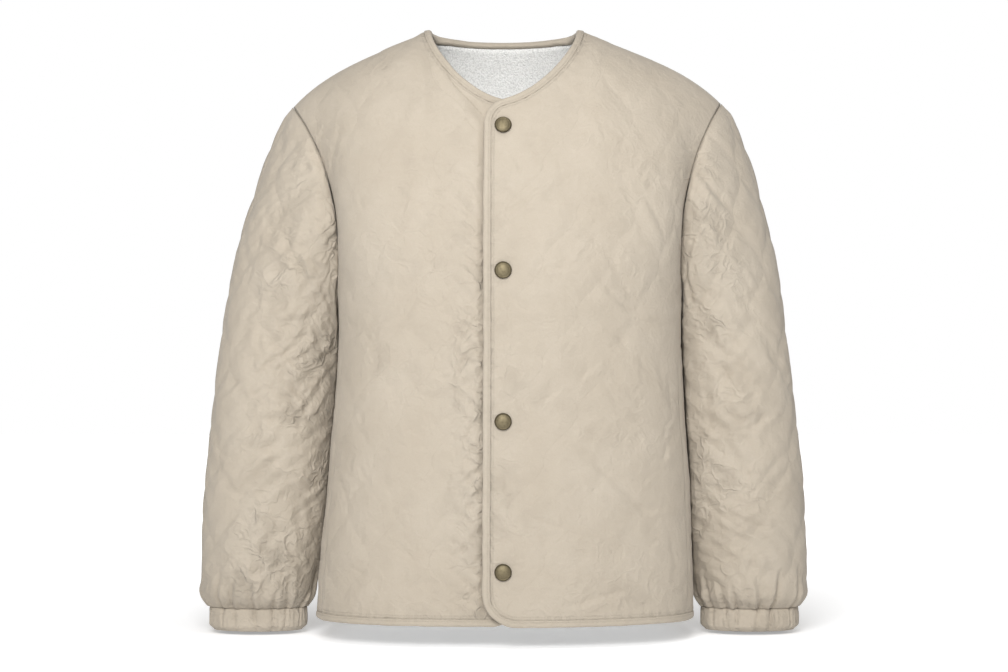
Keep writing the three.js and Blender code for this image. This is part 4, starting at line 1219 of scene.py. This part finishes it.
def sleeve(side, seed):
    rows, around = 241, 200
    grid, first, low = sleeve_grid(side, rows, around)
    turn = np.broadcast_to(np.arange(around) / around, (rows, around))
    z = grid[..., 2]
    radial = vec(grid[..., 0] - SLEEVE_MIDDLE, grid[..., 1] - SLEEVE_Y, 0)
    cap = vec(np.full(z.shape, 0.3), (grid[..., 1] - 10) / 90, np.full(z.shape, 0.6))
    normals = grid_normals(grid, np.where((z > -200)[..., None], cap, radial), closed=True)
    blend = (1 - smooth(0.5, 0.85, low))[:, None]
    normals[0] = unit(mix(normals[0], first, blend))
    normals[-1] = unit(normals[-1] * np.array([1, 1, 0]))
    round_ = turn * SLEEVE_ROUND
    row = np.arange(rows)[:, None]
    quilt = quilt_distance(round_, z)
    relief = 1.2 * (smooth(0, 17, quilt) - 0.55 - 0.3 * bell(quilt / 3.2))
    inner = smooth(0.13, 0.25, turn) * (1 - smooth(0.66, 0.8, turn))
    lively = (0.45 + 1.1 * inner) * (1.35 if side == "right" else 1.05)
    # Noise that closes round the sleeve: it is read on a circle.
    ring = SLEEVE_ROUND / (2 * np.pi)
    cx, cy = ring * np.cos(2 * np.pi * turn), ring * np.sin(2 * np.pi * turn)
    relief += 1.1 * lively * crumple(cx + 0.35 * z, cy + 0.8 * z, seed)
    relief += 1.4 * noise(cx / 60 + z / 70, cy / 60 - z / 90, seed + 2)
    ends = smooth(0, 0.07, turn) * (1 - smooth(0.93, 1, turn))
    relief += lively * ends * folds(round_, z, seed + 30, SLEEVE_FOLDS)
    marks = SLEEVE_CREASES[side] + SLEEVE_BACK_CREASES
    marks = marks + scattered(seed + 3, 40, (40, 190, -620, -240), 34, 1.0, 3.0, 0.6)
    marks = marks + scattered(seed + 4, 26, (100, 200, -600, -300), 28, 1.1, 3.0, -0.7)
    marks = marks + scattered(seed + 5, 50, (190, 420, -620, -180), 36, 0.9, 3.2, 0.5)
    relief += crease_height(round_, z, marks)
    underarm = bell((turn - 0.5) / 0.12)
    fade = smooth(0, 7, row) * (1 - smooth(-20, 0, -(rows - 1 - row)) * 0.8)
    height = relief * fade * (1 - 0.8 * underarm)
    pinches = gathers(seed + 6, 46)
    gather = sum(crease_height(round_ + shift, z, pinches) for shift in (-SLEEVE_ROUND, 0, SLEEVE_ROUND))
    height += gather
    # The cloth blouses a little over the cuff.
    height += 2.4 * bell((z - CUFF_TOP - 13) / 11)
    # A little roll just outside the armhole seam.
    height += 0.9 * bell((row - 6) / 4.3) * (1 - underarm)
    uv = np.stack([round_ / 1000, z / 1000], -1)
    # seam runs from the armhole seam; next to it the material sinks a groove and darkens it with painted
    # shade.
    seam = np.broadcast_to(row * 2.25, z.shape)
    far = np.full(z.shape, FAR)
    values = {"edge": far, "run": far, "seam": seam, "quilt": quilt, "pocket": far}
    # crease sets the crests in the bump and the painted shade in their valleys: strongest on the inner side
    # of the sleeve and near the cuff.
    patch = smooth(-0.3, 0.5, noise(cx / 40 + z / 52, cy / 40 - z / 45, seed + 9))
    cuffward = np.exp(-np.maximum(z - CUFF_TOP, 0) / 30)
    values["crease"] = (0.07 + 0.88 * inner) * (0.4 + 0.6 * patch) * (1.1 if side == "right" else 0.8)
    values["crease"] += 0.45 * cuffward
    obj = shell(
        f"sleeve_{side}_cloth", grid * MIRROR[side], normals * MIRROR[side], height, WALL["sleeve"], uv,
        values, [COTTON], closed=True,
    )
    return dress(obj, f"sleeve_{side}")


def cuff(side, seed):
    """An elasticated cuff: the cloth puffs between the pinches that the sleeve has too."""
    rows, around = 19, 340
    turn = np.broadcast_to(np.arange(around) / around, (rows, around))
    share = np.broadcast_to(np.linspace(0, 1, rows)[:, None], (rows, around))
    z = mix(CUFF_TOP - 0.3, CUFF_BOTTOM, share)
    angle = 2 * np.pi * turn
    tuck = 5.0 * smooth(0.72, 1.0, share) ** 1.6
    half, deep = CUFF_HALF - tuck, CUFF_DEPTH - tuck
    grid = vec(CUFF_CENTRE + half * np.cos(angle), SLEEVE_Y - deep * np.sin(angle), z)
    normals = unit(vec(np.cos(angle) / CUFF_HALF, -np.sin(angle) / CUFF_DEPTH, 0))
    rng = np.random.default_rng(seed + 6)
    height = np.full(z.shape, 0.9)
    # pinch is the cuff's crease value: crests in the bump and painted shade in the valleys, most at the
    # pinches.
    pinch = np.full(z.shape, 0.3)
    for k in range(PINCHES):
        at = (k + rng.uniform(-0.28, 0.28)) / PINCHES
        rng.uniform(0.45, 1)
        rng.normal(0, 5)
        deep = rng.uniform(2.2, 3.8) * 0.8
        lean = 0.01 * np.sin(5.0 * k) * share
        off = (turn - at - lean + 0.5) % 1 - 0.5
        height -= 1.35 * deep * bell(off * SLEEVE_ROUND / 2.7) * (1 - 0.45 * share)
        pinch += 0.7 * bell(off * SLEEVE_ROUND / 6)
    height += 0.5 * noise(turn * 110, share * 2.5, seed)
    height += 1.2 * np.sin(np.pi * share) ** 0.7 - 0.5
    height *= 0.8
    uv = np.stack([turn * 0.29, z / 1000], -1)
    # seam sinks a slight groove along the cuff's top and darkens it a little with painted shade.
    seam = 100.0 - 98.0 * bell(share / 0.06)
    far = np.full(z.shape, FAR)
    obj = shell(
        f"cuff_{side}_cloth", grid * MIRROR[side], normals * MIRROR[side], height, WALL["cuff"], uv,
        {"edge": far, "run": far, "seam": seam, "crease": pinch}, [CUFF_COTTON_PAINTED_LIGHTER], closed=True,
    )
    return dress(obj, f"cuff_{side}")


sleeves = {side: sleeve(side, seed) for side, seed in (("left", 61), ("right", 67))}
cuffs = {side: cuff(side, seed) for side, seed in (("left", 61), ("right", 67))}

# ---- snaps ----

CAP_RADIUS = 9.2
# Cap section from the middle out: radius, height.
CAP = [
    (0, 3.35), (1.6, 3.32), (3.2, 3.18), (4.8, 2.9), (6.0, 2.5), (6.8, 2.1), (7.15, 1.92), (7.5, 2.0),
    (8.0, 2.3), (8.5, 2.4), (8.95, 2.15), (9.2, 1.6), (9.2, 0.9), (8.9, 0.3), (8.0, 0.0), (0, 0.0),
]


def snap(k):
    name = f"snap_{k + 1}"
    low, far = (np.array(v) * 1000 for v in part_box(name))
    z = SNAP_LEVELS[k]
    column = np.full(1, 0.13)
    up = np.full(1, (z - HEM_Z) / (CHEST_Z - HEM_Z))
    for _ in range(12):
        p = body_point(column, up, "left", "front", PANEL_INSET)[0]
        column = column + (SNAP_X - p[0]) / 100
        up = np.clip(up + (z - p[2]) / 400, 0, 2)
    n = body_normal(column, up, "left", "front", PANEL_INSET)[0]
    base = body_point(column, up, "left", "front", PANEL_INSET)[0] + n * 0.7
    base[0] = (low[0] + far[0]) / 2
    across = unit(np.cross(n, [0, 0, 1]))
    over = np.cross(across, n)
    steps, rings = 48, len(CAP) - 2
    angle = np.linspace(0, 2 * np.pi, steps, endpoint=False)[:, None]
    round_ = across * np.cos(angle) + over * np.sin(angle)
    points = [base + round_ * radius + n * high for radius, high in CAP[1:-1]]
    points = np.concatenate(points + [[base + n * CAP[0][1], base + n * CAP[-1][1]]])
    rim = [radius / CAP_RADIUS for radius, _ in CAP[1:-1] for _ in range(steps)] + [0, 1]
    last, top = (rings - 1) * steps, rings * steps
    faces = ring_faces(rings, steps)
    for i in range(steps):
        j = (i + 1) % steps
        faces += [(top, j, i), (top + 1, last + i, last + j)]
    a, b, c = (points[v] for v in faces[0][:3])
    if np.dot(np.cross(b - a, c - a), n) < 0:
        faces = [f[::-1] for f in faces]
    obj = add_object(name + "_cap", points, faces, values={"rim": rim}, materials=[BRASS])
    dress(obj, name)


for k in range(len(SNAP_LEVELS)):
    snap(k)

# ---- studio ----

CAMERA_PLACE, CAMERA_LENS = (0, -3.0, -0.343), 95.7


def light(name, place, target, size, power, colour=(1, 1, 1)):
    lamp = bpy.data.lights.new(name, "AREA")
    lamp.shape = "RECTANGLE"
    lamp.size, lamp.size_y = size
    lamp.energy = power
    lamp.color = colour
    obj = bpy.data.objects.new(name, lamp)
    obj.location = place
    away = np.array(place) - np.array(target)
    obj.rotation_euler = mathutils.Vector(away).to_track_quat("Z", "Y").to_euler()
    bpy.context.scene.collection.objects.link(obj)


def studio():
    scene = bpy.context.scene
    scene.view_settings.view_transform = "Standard"
    scene.world = bpy.data.worlds.new("studio")
    g = Graph(scene.world)
    lit = g.add("Background", Color=(1, 0.96, 0.9, 1), Strength=0.22)
    seen = g.add("Background", Color=(1, 1, 1, 1), Strength=1.0)
    g.add("OutputWorld", Surface=g.add("MixShader", i0=g.add("LightPath"), i1=lit, i2=seen))
    light("key", (-0.3, -3.1, 1.0), (0, 0, -0.35), (1.3, 1.3), 98, (1.0, 0.995, 0.985))
    light("top", (0.15, -0.9, 2.1), (0, 0, -0.3), (2.0, 1.4), 27)

    size = 6.0
    floor = bpy.data.meshes.new("floor")
    z = CUFF_BOTTOM / 1000 - 0.004
    corners = [(x * size, y * size, z) for x, y in ((-1, -1), (1, -1), (1, 1), (-1, 1))]
    floor.from_pydata(corners, [], [(0, 1, 2, 3)])
    obj = bpy.data.objects.new("floor", floor)
    scene.collection.objects.link(obj)
    g = Graph(bpy.data.materials.new("floor"))
    place = g.add("TexCoord", out=3)
    away = g.add("VectorMath", out=1, settings={"operation": "LENGTH"}, Vector=place)
    grain = g.noise(place, 3.0, 3.0)
    # What the floor shows is brighter than what it throws back onto the cloth.
    seen_share = g.remap(g.add("LightPath"), 0.0, 1.0, 0.55, 1.0)
    colour = g.blend((0.92, 0.93, 0.95, 1), (0.89, 0.9, 0.92, 1), g.remap(grain, 0.3, 0.7, 0.0, 1.0))
    floor.materials.append(
        g.finish(
            Base_Color=colour,
            Roughness=0.9,
            Specular_IOR_Level=0.0,
            Emission_Color=(1, 1, 1, 1),
            Emission_Strength=g.times(g.remap(away, 0.76, 1.5, 0.36, 1.0), seen_share),
        )
    )

    camera = bpy.data.cameras.new("camera")
    camera.lens, camera.sensor_width = CAMERA_LENS, 36.0
    camera.clip_end = 60
    obj = bpy.data.objects.new("camera", camera)
    obj.location = CAMERA_PLACE
    obj.rotation_euler = (np.pi / 2, 0, 0)
    scene.collection.objects.link(obj)
    scene.camera = obj


studio()

CLOTH = [(front_left, (0.28, 0.66), "hung"), (front_right, (0.28, 0.66), "hung")]
CLOTH += [(back, (0.52, 0.66), "hung"), (fleece, (0.52, 0.66), "hung")]
for side in SIGN:
    CLOTH += [(sleeves[side], (0.44, 0.58), "gathered"), (cuffs[side], (0.3, 0.027), "gathered")]
CLOTH += [(tape, (0.02, round(length / 1000, 3)), "folded") for tape, length in tapes.values()]
